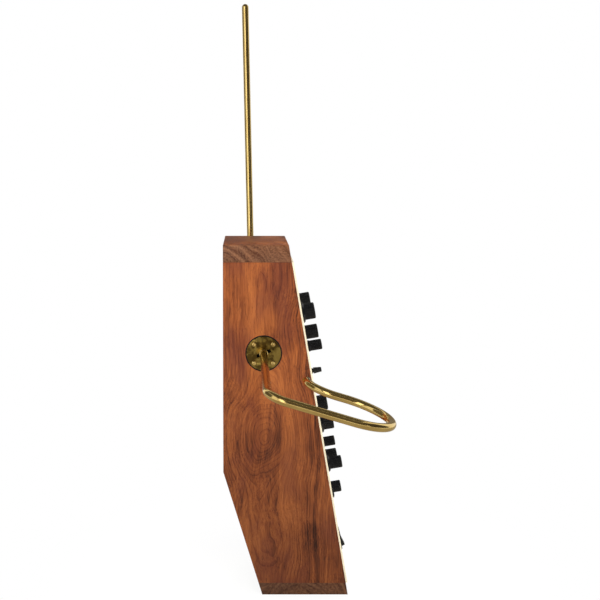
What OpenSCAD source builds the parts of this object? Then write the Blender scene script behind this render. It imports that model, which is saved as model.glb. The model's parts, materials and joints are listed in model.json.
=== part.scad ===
// Theremin in a tall walnut cabinet: a sloping control panel faces the player (-Y), a brass loop for
// volume leaves the left side (-X) and a brass rod for pitch stands beyond the right side (+X).
// +Z is up. The origin is the mouth of the stand's thread, in the middle of the base's underside.

/* [Cabinet] */
// Height of the cabinet
body_h = 522; // [505:1:575]
// Width of the cabinet across its side boards
body_w = 152; // [150:1:190]
// Depth of the base
base_d = 127; // [114:1:150]
// How far the top's front edge stands behind the base's front edge
front_rake = 89.5; // [64:0.5:104]
// How far the back stands out behind the base
back_overhang = 57.5; // [40:0.5:80]
// Height of the knee where the back turns upright
knee_h = 187; // [174:1:199]
// Thickness of the side boards
side_t = 15; // [14:0.5:18]
// Thickness of the top board
top_t = 25; // [16:1:28]
// Thickness of the bottom board
bottom_t = 18; // [16:1:24]
// Thickness of the back board
back_t = 9; // [6:1:12]
// Width and depth of the battens behind the back board
batten_w = 12; // [10:1:16]

/* [Front panel] */
// Thickness of the front panel
panel_t = 2.5; // [2:0.1:3]
// How far the panel's long edges stay inside the cabinet's width
panel_reveal = 0.5; // [0:0.1:2]
// Distance of the outer control columns from the cabinet's sides
column_inset = 24; // [24:0.5:28]
// How far the tuning knobs stand below the top
tuning_drop = 102; // [95:1:105]
// How far the second row of knobs stands below the top
voice_drop = 152.5; // [148:0.5:156]
// How far the toggle switch stands below the top
toggle_drop = 189.5; // [186:0.5:192]
// Height of the row of waveform knobs
wave_z = 255; // [250:0.5:259.5]
// Height of the outer filter knobs
filter_z = 192; // [189:1:197]
// How much lower the middle filter knob stands
middle_drop = 5; // [0:0.5:8]
// Height of the headphone jack
phones_z = 146.5; // [144.5:0.5:150.5]
// Height of the output level knob
level_z = 117.5; // [113.5:0.5:123.5]
// Height of the power rocker
rocker_z = 77; // [68:1:80]

/* [Knobs] */
// Clear space between a knob and the panel
knob_gap = 1; // [0.6:0.1:1.5]
// Grip diameter of the large knobs
large_grip_d = 24; // [20:0.5:26]
// Skirt diameter of the large knobs
large_skirt_d = 32; // [27:0.5:33]
// Height of the large knobs above the panel
large_h = 19.5; // [18:0.5:24]
// Grip diameter of the tall knob
tall_grip_d = 22; // [20:0.5:24]
// Skirt diameter of the tall knob
tall_skirt_d = 25; // [24.5:0.5:28]
// Height of the tall knob above the panel
tall_h = 23.5; // [20:0.5:27]
// Grip diameter of the small knobs
small_grip_d = 15.4; // [15:0.1:16]
// Skirt diameter of the small knobs
small_skirt_d = 17; // [16.5:0.5:19]
// Height of the small knobs above the panel
small_h = 21.5; // [18:0.5:25]
// Grip diameter of the skirted knob
skirted_grip_d = 18; // [16:0.5:20]
// Skirt diameter of the skirted knob
skirted_skirt_d = 25; // [22:0.5:27]
// Height of the skirted knob above the panel
skirted_h = 22.2; // [19:0.1:25]
// Grip diameter of the plain knobs
plain_grip_d = 18; // [16:0.5:20]
// Skirt diameter of the plain knobs
plain_skirt_d = 18.8; // [18.5:0.1:21]
// Height of the plain knobs above the panel
plain_h = 19; // [18:0.1:23]
// Number of flutes round a knob's grip
flutes = 20; // [13:1:24]

/* [Potentiometers] */
// Diameter of the shafts
shaft_d = 6; // [5.5:0.1:6.3]
// Diameter of the threaded necks
neck_d = 7; // [6.9:0.1:7.6]
// Diameter of the cans
pot_d = 16; // [12:0.5:17]
// Depth of the cans
pot_depth = 8.5; // [7:0.5:9]
// Width of the nuts across their flats
nut_af = 9.6; // [9:0.1:10]
// Thickness of the nuts
nut_t = 2; // [1.5:0.1:2.2]

/* [Antennas] */
// Diameter of the brass rod of both antennas
rod_d = 11; // [9:0.1:11.5]
// How far both antenna sockets stand below the top
socket_drop = 158; // [138:1:170]
// How far the volume socket stands behind the middle of the base
volume_socket_y = 62; // [54:1:68]
// How far the pitch socket stands behind the middle of the base
pitch_socket_y = 77; // [70:1:82]
// Diameter of the socket plates
plate_d = 50; // [46:1:56]
// Thickness of the socket plates
plate_t = 3; // [2.5:0.1:4]
// Angle of the bayonet slots above the level, towards the player
slot_angle = 23; // [0:1:45]
// Distance of the volume loop's near leg from the side board
loop_reach = 244; // [230:1:270]
// How far the loop's near leg runs forward before the tip bends
loop_forward = 109.5; // [98:0.5:128]
// Radius of the loop's round tip
loop_tip_r = 54.5; // [50:0.5:60]
// Radius of the loop's turned-in end
loop_hook_r = 40; // [30:1:44]
// Length of the straight stretch behind the tip on the return leg
loop_return = 11; // [6:1:18]
// Radius of the loop's bend beside the socket
loop_bend_r = 28; // [15:1:40]
// How far the loop droops towards the player
loop_droop = 16.7; // [0:0.1:25]
// Distance of the pitch rod from the side board
pitch_reach = 100; // [80:1:120]
// Radius of the pitch rod's bend
pitch_bend_r = 25; // [20:1:40]
// Height of the pitch rod's tip above the sockets
pitch_rise = 535.5; // [450:0.5:560]
// Backward lean of the pitch rod
pitch_lean = 1.3; // [0:0.1:4]

/* [Switches] */
// Length of the power rocker's bezel
rocker_l = 29; // [27:0.5:32]
// Width of the power rocker's bezel
rocker_w = 14; // [13:0.5:16]
// How far the bezel stands above the panel
rocker_rim = 1.6; // [1:0.1:2.2]
// How far the middle of the rocker's button stands above the panel
rocker_crown = 2.8; // [2.5:0.1:4.5]
// Tilt of the rocker at either end of its travel
rocker_tilt = 12; // [6:0.5:12]
// How far the toggle's bat reaches above the panel
toggle_reach = 15; // [13:0.5:17]
// Diameter of the bat at its foot
toggle_bat_d = 9.2; // [9:0.1:10]
// Diameter of the bat at its tip
toggle_tip_d = 7; // [5:0.1:8]
// Tilt of the toggle at either end of its throw
toggle_throw = 12; // [8:0.5:12]

/* [Base] */
// Diameter of the stand flange
flange_d = 64; // [56:1:72]
// Thickness of the stand flange's rim
flange_t = 3; // [2:0.5:5]
// Diameter of the stand's thread
stand_thread_d = 15.9; // [15:0.1:17]
// Depth of the stand's thread
stand_thread_l = 13; // [10:0.5:14]

/* [Hidden] */
KNOB_NAMES = ["volume_tuning", "pitch_tuning", "response", "register", "waveform", "brightness",
    "filter", "resonance", "drive", "level"];

$fn = 48;
eps = 0.01;
fit = 0.05;          // radial clearance of a shaft or screw in its hole
seat_gap = 0.25;     // clearance round a board or plate let in between others
column_x = body_w / 2 - column_inset;
tuning_z = body_h - tuning_drop;
voice_z = body_h - voice_drop;
toggle_z = body_h - toggle_drop;
socket_z = body_h - socket_drop;
large_knob = [large_grip_d, large_skirt_d, large_h];
tall_knob = [tall_grip_d, tall_skirt_d, tall_h];
small_knob = [small_grip_d, small_skirt_d, small_h];
skirted_knob = [skirted_grip_d, skirted_skirt_d, skirted_h];
plain_knob = [plain_grip_d, plain_skirt_d, plain_h];
// each knob's place across the panel, its height and its kind, in the order of KNOB_NAMES
KNOBS = [[-column_x, tuning_z, large_knob], [column_x, tuning_z, large_knob],
    [-column_x, voice_z, small_knob], [column_x, voice_z, tall_knob],
    [-column_x, wave_z, large_knob], [column_x, wave_z, large_knob],
    [-column_x, filter_z, skirted_knob], [0, filter_z - middle_drop, plain_knob],
    [column_x, filter_z, small_knob],
    [column_x, level_z, plain_knob]];

back_y = base_d / 2 + back_overhang;
inner_x = body_w / 2 - side_t;
front_angle = atan(front_rake / body_h);
rear_angle = atan(back_overhang / knee_h);
panel_w = body_w - 2 * panel_reveal;
panel_low = bottom_t / cos(front_angle);
panel_high = (body_h - top_t) / cos(front_angle);

// screws of the cabinet
screw_d = 3;
screw_head_d = 6.2;
screw_head_h = 1.8;
screw_l = 11;
screw_slot = [0.9, 0.9]; // width and depth of the slot across a head
panel_screw_x = body_w / 2 - side_t / 2;
panel_screw_inset = 10;
panel_screw_rows = 4;
function between(low, high, i, count) = low + (high - low) * i / (count - 1);
PANEL_SCREW_S = [for (i = [0:panel_screw_rows - 1])
    between(panel_low + panel_screw_inset, panel_high - panel_screw_inset, i, panel_screw_rows)];

// battens, back board and connector plate
batten_x = inner_x - batten_w / 2;
batten_rise = 14;
batten_foot = 5;
BACK_SCREW_Z = [for (i = [0:2])
    between(knee_h + 2 * batten_rise, body_h - top_t - 2 * batten_rise, i, 3)];
connector_t = 2;
connector_low = (bottom_t + seat_gap) / cos(rear_angle);
connector_high = (knee_h - back_t) / cos(rear_angle);
CONNECTOR_SCREW_S = [connector_low + batten_rise, connector_high - 2 * batten_rise];

// potentiometers, measured from the panel's outer face
nut_washer_t = 0.5;
neck_top = 3.8;
pot_rear = panel_t + pot_depth;
pot_floor = 2;       // wall behind the shaft
knob_top_t = 3;
skirt_t = 3;
cap_h = 1;
cap_inset = 1;       // how much narrower the cap is than the grip, at its foot and at its top
cap_taper = 1.4;
flute_depth = 0.5;
hollow_gap = 0.5;    // clearance of the knob's hollow round the nut and the neck
flat_depth = 1.4;
pointer_w = 1.2;
pointer_depth = 0.4;
pointer_root = 1;    // where the pointer groove starts, from the middle

// main board, carried on standoffs behind the panel
board_gap = 0.5;
board_t = 1.6;
board_front = pot_rear + board_gap;
board_side_gap = 3;
board_w = 2 * (inner_x - board_side_gap);
board_low = phones_z + 19;
board_high = tuning_z + 26;
standoff_d = 6;
standoff_inset = 8;
standoff_x = column_x / 2;
STANDOFF_Z = [board_low + standoff_inset, (filter_z + wave_z) / 2, (toggle_z + wave_z) / 2,
    board_high - standoff_inset];
// rows of parts up the board: two chips, a tuned transformer in its can and a capacitor in each
chip = [8, 20, 4];
can = [10, 10, 13];
capacitor = [9, 12];
CHIP_X = [-30, 14];
can_x = -8;
capacitor_x = 38;
capacitor_rise = 6;
first_row = 30;
row_pitch = 48;
ROW_Z = [for (i = [0:3]) board_low + first_row + i * row_pitch];

// jacks
jack_bore_d = 6.5;
jack_neck_d = 9;
jack_nut_af = 12;
jack_nut_t = 2.6;
jack_body = [15, 15, 20];
jack_front = 3.2;
jack_floor = 2;      // wall behind the plug's tip
output_jack_s = 128;
OUTPUT_JACK_X = [-25, 25];
inlet_s = 52;
inlet_x = 30;
inlet_d = 14;
inlet_rim = 2;
inlet_neck_d = 11;
inlet_bore_d = 5.5;
inlet_pin_d = 2.1;
inlet_l = 14;
inlet_floor = 3;

// sockets
recess_gap = 1.75;
plate_screw_circle = 39;
plate_screw_head_d = 7.6;
plate_screw_head_h = 2.2;
plate_screw_l = 9;
plate_screw_socket = 2.9;
washer_t = 1;        // the insulating cup's floor under the plate
cup_lip = 0.5;       // how far the cup's rim stays below the board's face
collar_d = 12.8;
collar_t = 1.4;
collar_gap = 0.3;
pin_d = 4;
pin_l = 20.6;
slot_gap = 0.5;
bush_d = 28;
bush_cavity_d = 22;
bush_cavity_l = 5;
bush_flange_d = 36;
bush_flange_t = 3;
bush_nose_d = 16;
bush_nose_l = 6;
bush_length = side_t + bush_flange_t + bush_nose_l;
rod_inset = bush_length - 0.5;
contact_d = 10;
contact_t = 1.2;
tag_w = 4;
tag_l = 12;
lead_d = 1.6;

// antenna coils, one on each side board below its socket
coil_flange = 26;
coil_flange_t = 3;
coil_core_d = 14;
coil_winding_d = 20;
coil_h = 64;
coil_drop = 36;
coil_x = inner_x - coil_flange / 2;
coil_top = socket_z - coil_drop;
lead_x = body_w / 2 - bush_length - contact_t - lead_d / 2;
tag_overlap = 2;     // how far the solder tag laps on to the contact disc

// switches
rocker_gap = 0.3;
rocker_cutout_gap = 0.2;
rocker_wall = 0.8;
rocker_depth = 20;
rocker_pin_d = 3;
rocker_pin_depth = 2;
rocker_floor = 9;
rocker_body_l = rocker_l - 2;
rocker_body_w = rocker_w - 2;
rocker_open_l = rocker_body_l - 2 * rocker_wall;
rocker_open_w = rocker_body_w - 2 * rocker_wall;
rocker_keel = [0.6, 3];  // the button's foot: its share of the length, and how deep it hangs
rocker_dish = 1.2;   // how much lower the button's middle is than its ends
rocker_draft = 0.8;
toggle_neck_d = 6.2;
toggle_neck_top = 4;
toggle_body = [8, 13, 9];
toggle_nut_af = 8;
toggle_nut_t = 1.8;
toggle_pivot = 0.5;
toggle_ball_d = 3.8;
toggle_ball_gap = 0.05;
toggle_mouth_d = 5;
toggle_root_d = 2.2;
toggle_gap = 0.25;   // clearance of the bat round the neck and above the nut
toggle_round = 2;
toggle_foot = (toggle_nut_t - toggle_pivot + toggle_gap + toggle_bat_d / 2 * sin(toggle_throw))
    / cos(toggle_throw);
toggle_hollow_d = toggle_neck_d * cos(toggle_throw) + 2 * toggle_gap
    + 2 * (toggle_neck_top - toggle_pivot) * sin(toggle_throw);
toggle_hollow_top = toggle_gap + toggle_neck_top - toggle_pivot
    + toggle_neck_d / 2 * sin(toggle_throw);

// power supply board, standing on the bottom board
supply = [60, 44, 1.6];
supply_y = -6;
supply_rise = 6;
supply_post_d = 6;
supply_post_inset = 4;
supply_cap = [14, 24];
SUPPLY_CAP_X = [-16, 2];
sink = [2, 26, 22];  // the heat sink's web, with its fins beside it
sink_x = 14;
fin = [12, 2, 22];
fin_pitch = 6;
fins = 5;

flange_hub_d = 26;
flange_screw_circle = 46;
flange_sink = 0.5;
hub_gap = 1;         // clearance above the flange's hub

walnut = "#7d4830";
end_walnut = "#6a5348";
cream = "#efe6cf";
brass = "#b59a4a";
knob_black = "#181a1c";
nickel = "#b9bbbd";

function front_y(z) = -base_d / 2 + z * front_rake / body_h;
function rear_y(z) = base_d / 2 + z * back_overhang / knee_h;

// children stand on the panel's outer face, at x across and at height z: their z points out of it
module on_panel(x, z) {
    translate([x, front_y(z), z]) rotate([90 - front_angle, 0, 0]) translate([0, 0, panel_t]) children();
}

// children lie in the sloping front plane of the cabinet, with y up the slope from the base
module front_slope() {
    translate([0, -base_d / 2, 0]) rotate([90 - front_angle, 0, 0]) children();
}

// children lie in the sloping plane under the knee, with y up the slope and z out of the back
module rear_slope() {
    translate([0, base_d / 2, 0]) rotate([-90 - rear_angle, 0, 0]) rotate([0, 0, 180]) children();
}

// children stand on the outer face of a side board, -1 left and 1 right, with their z pointing out
module on_side(side, y, z) {
    translate([side * body_w / 2, y, z]) rotate([0, side * 90, 0]) children();
}

module at_sockets(side) {
    on_side(side, side < 0 ? volume_socket_y : pitch_socket_y, socket_z) children();
}

module nut_shape(af) {
    circle(d = af / cos(30), $fn = 6);
}

// the cabinet's side outline between two heights, as a board of width w from x
module cabinet_slab(x, w, low, high) {
    intersection() {
        translate([x, 0, 0]) rotate([90, 0, 90]) linear_extrude(w) polygon([[-base_d / 2, 0],
            [base_d / 2, 0], [back_y, knee_h], [back_y, body_h], [front_y(body_h), body_h]]);
        translate([x - 1, -base_d, low]) cube([w + 2, 3 * base_d, high - low]);
    }
}

// a countersunk screw with a slotted head, flush with z = 0
module screw(l = screw_l) {
    difference() {
        union() {
            translate([0, 0, -l]) cylinder(d = screw_d, h = l - screw_head_h + eps);
            translate([0, 0, -screw_head_h]) cylinder(d1 = screw_d, d2 = screw_head_d, h = screw_head_h);
        }
        translate([-screw_head_d, -screw_slot[0] / 2, -screw_slot[1]])
            cube([2 * screw_head_d, screw_slot[0], screw_slot[1] + eps]);
    }
}

// a cap screw with a hexagon socket, whose head rests on z = 0
module cap_screw() {
    translate([0, 0, -plate_screw_l]) cylinder(d = screw_d, h = plate_screw_l + eps);
    difference() {
        cylinder(d1 = plate_screw_head_d, d2 = plate_screw_head_d * 0.8, h = plate_screw_head_h);
        translate([0, 0, plate_screw_head_h / 2])
            cylinder(d = plate_screw_socket, h = plate_screw_head_h, $fn = 6);
    }
}

module screw_hole(l = screw_l) {
    translate([0, 0, -l - fit]) cylinder(d = screw_d + 2 * fit, h = l + 2 * fit + eps);
}

// a hole with a countersink for the head
module sunk_hole(l = screw_l) {
    screw_hole(l);
    translate([0, 0, -screw_head_h])
        cylinder(d1 = screw_d + 4 * fit, d2 = screw_head_d + 4 * fit, h = screw_head_h);
    cylinder(d = screw_head_d + 4 * fit, h = 1);
}

module at_panel_screws() {
    for (x = [-panel_screw_x, panel_screw_x], s = PANEL_SCREW_S)
        front_slope() translate([x, s, panel_t]) children();
}

module at_back_screws() {
    for (x = [-batten_x, batten_x], z = BACK_SCREW_Z)
        translate([x, back_y, z]) rotate([-90, 0, 0]) children();
}

module at_connector_screws() {
    for (x = [-batten_x, batten_x], s = CONNECTOR_SCREW_S)
        rear_slope() translate([x, s, 0]) children();
}

module at_plate_screws(side) {
    at_sockets(side) for (a = [45:90:315]) rotate([0, 0, a]) translate([plate_screw_circle / 2, 0, 0])
        children();
}

module side_board(side) {
    color(walnut) difference() {
        cabinet_slab(side < 0 ? -body_w / 2 : inner_x, side_t, bottom_t, body_h - top_t);
        at_sockets(side) {
            translate([0, 0, -plate_t - washer_t])
                cylinder(d = plate_d + 2 * recess_gap, h = plate_t + washer_t + 1, $fn = 96);
            translate([0, 0, -side_t - 1]) cylinder(d = bush_d + 2 * fit, h = side_t + 2);
        }
        at_plate_screws(side) screw_hole(plate_screw_l);
        at_panel_screws() screw_hole();
    }
}

module left_side_board() { side_board(-1); }
module right_side_board() { side_board(1); }

module top_board() {
    color(end_walnut) cabinet_slab(-body_w / 2, body_w, body_h - top_t, body_h);
}

module flange_recess() {
    translate([0, 0, -1]) cylinder(d = flange_d + 2 * seat_gap, h = flange_t + 1);
    cylinder(d = flange_hub_d + 2 * seat_gap, h = bottom_t + 1);
}

module at_flange_screws() {
    for (a = [45:90:315]) rotate([0, 0, a]) translate([flange_screw_circle / 2, 0, 0])
        rotate([180, 0, 0]) children();
}

module at_supply_posts() {
    for (x = [-1, 1], y = [-1, 1])
        translate([x * (supply[0] / 2 - supply_post_inset),
            supply_y + y * (supply[1] / 2 - supply_post_inset), bottom_t]) children();
}

module bottom_board() {
    color(end_walnut) difference() {
        cabinet_slab(-body_w / 2, body_w, 0, bottom_t);
        flange_recess();
        at_flange_screws() translate([0, 0, -flange_t]) screw_hole(screw_l - flange_t);
    }
}

module back_board() {
    color(walnut) difference() {
        translate([-inner_x + seat_gap, back_y - back_t, knee_h])
            cube([2 * (inner_x - seat_gap), back_t, body_h - top_t - knee_h]);
        at_back_screws() sunk_hole(back_t + 1);
    }
}

module back_battens() {
    color("burlywood") difference() {
        union() {
            for (x = [-inner_x, inner_x - batten_w]) {
                translate([x, back_y - back_t - batten_w, knee_h + batten_rise])
                    cube([batten_w, batten_w, body_h - top_t - knee_h - batten_rise]);
                rear_slope() translate([x, connector_low + batten_foot, -connector_t - batten_w])
                    cube([batten_w, connector_high - connector_low - batten_rise, batten_w]);
            }
        }
        at_back_screws() screw_hole(screw_l + back_t);
        at_connector_screws() screw_hole();
    }
}

module at_output_jacks() {
    for (x = OUTPUT_JACK_X) rear_slope() translate([x, output_jack_s, 0]) children();
}

module at_power_inlet() {
    rear_slope() translate([inlet_x, inlet_s, 0]) children();
}

module connector_plate() {
    color(cream) difference() {
        rear_slope() translate([-inner_x + seat_gap, connector_low, -connector_t])
            cube([2 * (inner_x - seat_gap), connector_high - connector_low, connector_t]);
        at_connector_screws() sunk_hole();
        at_output_jacks() translate([0, 0, -connector_t - 1])
            cylinder(d = jack_neck_d + 2 * fit, h = connector_t + 2);
        at_power_inlet() translate([0, 0, -connector_t - 1])
            cylinder(d = inlet_neck_d + 2 * fit, h = connector_t + 2);
    }
}

module front_panel() {
    color(cream) difference() {
        front_slope() translate([-panel_w / 2, panel_low, 0])
            cube([panel_w, panel_high - panel_low, panel_t]);
        for (k = KNOBS) on_panel(k[0], k[1]) translate([0, 0, -panel_t - 1])
            cylinder(d = neck_d + 2 * fit, h = panel_t + 2);
        on_panel(-column_x, toggle_z) translate([0, 0, -panel_t - 1])
            cylinder(d = toggle_neck_d + 2 * fit, h = panel_t + 2);
        on_panel(-column_x, phones_z) translate([0, 0, -panel_t - 1])
            cylinder(d = jack_neck_d + 2 * fit, h = panel_t + 2);
        on_panel(-column_x, rocker_z) translate([-rocker_body_w / 2 - rocker_cutout_gap,
            -rocker_body_l / 2 - rocker_cutout_gap, -panel_t - 1])
            cube([rocker_body_w + 2 * rocker_cutout_gap, rocker_body_l + 2 * rocker_cutout_gap,
                panel_t + 2]);
        at_panel_screws() sunk_hole();
    }
}

module panel_screws() { color(nickel) at_panel_screws() screw(); }
module back_screws() { color(nickel) at_back_screws() screw(screw_l + back_t - 2); }
module connector_plate_screws() { color(nickel) at_connector_screws() screw(); }

module volume_plate_screws() { color(brass) at_plate_screws(-1) cap_screw(); }
module pitch_plate_screws() { color(brass) at_plate_screws(1) cap_screw(); }

// a bayonet plate: the rod's hole and two slots that let its cross pin through
module socket_plate(side) {
    color(brass) difference() {
        at_sockets(side) translate([0, 0, -plate_t]) cylinder(d = plate_d, h = plate_t, $fn = 96);
        at_sockets(side) translate([0, 0, -plate_t - 1]) {
            cylinder(d = rod_d + 2 * fit, h = plate_t + 2);
            rotate([0, 0, -side * slot_angle]) translate([-pin_d / 2 - slot_gap, -pin_l / 2 - slot_gap, 0])
                cube([pin_d + 2 * slot_gap, pin_l + 2 * slot_gap, plate_t + 2]);
        }
        at_plate_screws(side) screw_hole(plate_screw_l);
    }
}

module volume_socket_plate() { socket_plate(-1); }
module pitch_socket_plate() { socket_plate(1); }

// an insulating cup round the plate, its neck through the board, and the ring nut behind the board
module socket_bush(side) {
    color("dimgray") difference() {
        at_sockets(side) {
            translate([0, 0, -plate_t - washer_t]) cylinder(d = plate_d + 2 * recess_gap - 2 * fit,
                h = plate_t + washer_t - cup_lip, $fn = 96);
            translate([0, 0, -side_t - bush_flange_t])
                cylinder(d = bush_d, h = side_t + bush_flange_t - plate_t);
            translate([0, 0, -bush_length]) cylinder(d = bush_nose_d, h = bush_nose_l + eps);
        }
        at_sockets(side) {
            translate([0, 0, -plate_t]) cylinder(d = plate_d + 2 * seat_gap, h = plate_t, $fn = 96);
            translate([0, 0, -plate_t - bush_cavity_l]) cylinder(d = bush_cavity_d, h = side_t);
            translate([0, 0, -bush_length - 1]) cylinder(d = rod_d + 2 * fit, h = bush_length);
        }
        at_plate_screws(side) screw_hole(plate_screw_l);
    }
    color("dimgray") at_sockets(side) translate([0, 0, -side_t - bush_flange_t]) difference() {
        cylinder(d = bush_flange_d, h = bush_flange_t);
        translate([0, 0, -1]) cylinder(d = bush_d + 2 * fit, h = bush_flange_t + 2);
    }
}

module volume_socket_bush() { socket_bush(-1); }
module pitch_socket_bush() { socket_bush(1); }

// a spring disc behind each rod, with a solder tag that points down
module antenna_contacts() {
    color(brass) for (side = [-1, 1]) at_sockets(side) {
        translate([0, 0, -bush_length - contact_t]) cylinder(d = contact_d, h = contact_t);
        translate([side < 0 ? -contact_d / 2 - tag_l + tag_overlap : contact_d / 2 - tag_overlap,
            -tag_w / 2, -bush_length - contact_t]) cube([tag_l, tag_w, contact_t]);
    }
}

module antenna_leads() {
    color("firebrick") for (side = [-1, 1])
        translate([side * lead_x, side < 0 ? volume_socket_y : pitch_socket_y, coil_top])
            cylinder(d = lead_d, h = coil_drop - contact_d / 2 - tag_overlap);
}

module antenna_coil(side) {
    translate([side * coil_x, side < 0 ? volume_socket_y : pitch_socket_y, coil_top - coil_h]) {
        color("whitesmoke") for (z = [0, coil_h - coil_flange_t])
            translate([-coil_flange / 2, -coil_flange / 2, z])
                cube([coil_flange, coil_flange, coil_flange_t]);
        color("whitesmoke") cylinder(d = coil_core_d, h = coil_h);
        color("peru") translate([0, 0, 2 * coil_flange_t])
            cylinder(d = coil_winding_d, h = coil_h - 4 * coil_flange_t);
    }
}

module volume_coil() { antenna_coil(-1); }
module pitch_coil() { antenna_coil(1); }

// a quarter turn or more of rod round the origin, from angle a through sweep
module rod_bend(r, a, sweep) {
    rotate([0, 0, a]) rotate_extrude(angle = sweep, $fn = 96) translate([r, 0]) circle(d = rod_d, $fn = 32);
}

// straight rod in the xy plane, from p along angle a
module rod_run(p, a, l) {
    translate([p[0], p[1], 0]) rotate([0, 0, a]) rotate([0, 90, 0]) cylinder(d = rod_d, h = l, $fn = 32);
}

// the socket end of an antenna, along -y from the side board's face, with its collar and cross pin
module rod_root(pin_turn) {
    rotate([-90, 0, 0]) {
        translate([0, 0, -rod_inset]) cylinder(d = rod_d, h = rod_inset, $fn = 32);
        translate([0, 0, collar_gap]) cylinder(d = collar_d, h = collar_t);
        rotate([0, 0, pin_turn]) translate([0, 0, -plate_t - bush_cavity_l / 2]) rotate([90, 0, 0])
            translate([0, 0, -pin_l / 2]) cylinder(d = pin_d, h = pin_l);
    }
}

// in the loop's own plane: y runs out of the side board and x towards the player
module volume_antenna() {
    return_y = loop_reach - 2 * loop_tip_r;
    hook_x = loop_forward - loop_return;
    color(brass) translate([-body_w / 2, volume_socket_y, socket_z]) rotate([loop_droop, 0, 0])
        rotate([180, 0, -90]) {
            rod_root(loop_droop + slot_angle);
            rod_run([0, 0], 90, loop_reach - loop_bend_r);
            translate([loop_bend_r, loop_reach - loop_bend_r, 0]) rod_bend(loop_bend_r, 90, 90);
            rod_run([loop_bend_r, loop_reach], 0, loop_forward - loop_bend_r);
            translate([loop_forward, loop_reach - loop_tip_r, 0]) rod_bend(loop_tip_r, -90, 180);
            rod_run([hook_x, return_y], 0, loop_return);
            translate([hook_x, return_y - loop_hook_r, 0]) rod_bend(loop_hook_r, 90, 90);
            translate([hook_x - loop_hook_r, return_y - loop_hook_r, 0]) sphere(d = rod_d, $fn = 32);
        }
}

// in the rod's own plane: y runs out of the side board and x up
module pitch_antenna() {
    color(brass) translate([body_w / 2, pitch_socket_y, socket_z]) rotate([-pitch_lean, 0, 0])
        rotate([0, -90, -90]) {
            rod_root(pitch_lean + 90 - slot_angle);
            rod_run([0, 0], 90, pitch_reach - pitch_bend_r);
            translate([pitch_bend_r, pitch_reach - pitch_bend_r, 0]) rod_bend(pitch_bend_r, 90, 90);
            rod_run([pitch_bend_r, pitch_reach], 0, pitch_rise - pitch_bend_r - rod_d / 2);
            translate([pitch_rise - rod_d / 2, pitch_reach, 0]) sphere(d = rod_d, $fn = 32);
        }
}

// body, threaded neck and nut; the neck's mouth widens for the lever's throw
module toggle_switch() {
    color(nickel) on_panel(-column_x, toggle_z) difference() {
        union() {
            translate([-toggle_body[1] / 2, -toggle_body[0] / 2, -panel_t - toggle_body[2]])
                cube([toggle_body[1], toggle_body[0], toggle_body[2]]);
            translate([0, 0, -panel_t]) cylinder(d = toggle_neck_d, h = panel_t + toggle_neck_top);
            linear_extrude(toggle_nut_t) nut_shape(toggle_nut_af);
        }
        translate([0, 0, -panel_t]) cylinder(d = toggle_ball_d + 2 * toggle_ball_gap,
            h = panel_t + toggle_pivot + eps);
        translate([0, 0, toggle_pivot]) cylinder(d1 = toggle_ball_d + 2 * toggle_ball_gap,
            d2 = toggle_mouth_d, h = toggle_neck_top - toggle_pivot + eps);
    }
}

// a bat on a ball, with a hollow foot that clears the neck and the nut at either end of the throw
module toggle_lever() {
    shoulder = toggle_reach - toggle_pivot - toggle_round;
    tip_r = toggle_tip_d / 2;
    color(knob_black) on_panel(-column_x, toggle_z) translate([0, 0, toggle_pivot]) {
        sphere(d = toggle_ball_d, $fn = 32);
        cylinder(d = toggle_root_d, h = toggle_hollow_top + eps);
        difference() {
            translate([0, 0, toggle_foot])
                cylinder(d1 = toggle_bat_d, d2 = toggle_tip_d, h = shoulder - toggle_foot);
            cylinder(d = toggle_hollow_d, h = toggle_hollow_top);
        }
        translate([0, 0, shoulder]) rotate_extrude() intersection() {
            square([tip_r, toggle_round]);
            union() {
                square([tip_r - toggle_round, toggle_round]);
                translate([tip_r - toggle_round, 0]) circle(r = toggle_round);
            }
        }
    }
}

module rocker_frame() {
    color(knob_black) on_panel(-column_x, rocker_z) difference() {
        union() {
            translate([-rocker_w / 2, -rocker_l / 2, 0]) cube([rocker_w, rocker_l, rocker_rim]);
            translate([-rocker_body_w / 2, -rocker_body_l / 2, -rocker_depth])
                cube([rocker_body_w, rocker_body_l, rocker_depth + eps]);
        }
        translate([-rocker_open_w / 2, -rocker_open_l / 2, -rocker_floor])
            cube([rocker_open_w, rocker_open_l, rocker_floor + rocker_rim + 1]);
        translate([-rocker_w / 2, 0, -rocker_pin_depth]) rotate([0, 90, 0])
            cylinder(d = rocker_pin_d + 2 * fit, h = rocker_w);
    }
}

// a shallow V across the pivot, at rest with its lower end raised
module rocker_button() {
    half_l = rocker_open_l / 2 - 2 * rocker_gap;
    button_w = rocker_open_w - 2 * rocker_gap;
    crown = rocker_crown + rocker_pin_depth;
    color(knob_black) on_panel(-column_x, rocker_z) translate([0, 0, -rocker_pin_depth])
        rotate([-rocker_tilt, 0, 0]) {
            translate([-button_w / 2, 0, 0]) rotate([90, 0, 90]) linear_extrude(button_w) polygon([
                [-half_l * rocker_keel[0], -rocker_keel[1]], [half_l * rocker_keel[0], -rocker_keel[1]],
                [half_l, 0], [half_l - rocker_draft, crown + rocker_dish], [0, crown],
                [-half_l + rocker_draft, crown + rocker_dish], [-half_l, 0]]);
            translate([-button_w / 2 - rocker_wall - rocker_gap, 0, 0]) rotate([0, 90, 0])
                cylinder(d = rocker_pin_d, h = button_w + 2 * (rocker_wall + rocker_gap));
        }
}

// a phone jack: threaded neck through a panel of thickness t, its body behind, and a through bore
module jack(t) {
    difference() {
        union() {
            translate([-jack_body[0] / 2, -jack_body[1] / 2, -t - jack_body[2]]) cube(jack_body);
            translate([0, 0, -t]) cylinder(d = jack_neck_d, h = t + jack_front);
        }
        translate([0, 0, -t - jack_body[2] + jack_floor])
            cylinder(d = jack_bore_d, h = t + jack_body[2] + jack_front);
    }
}

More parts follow.
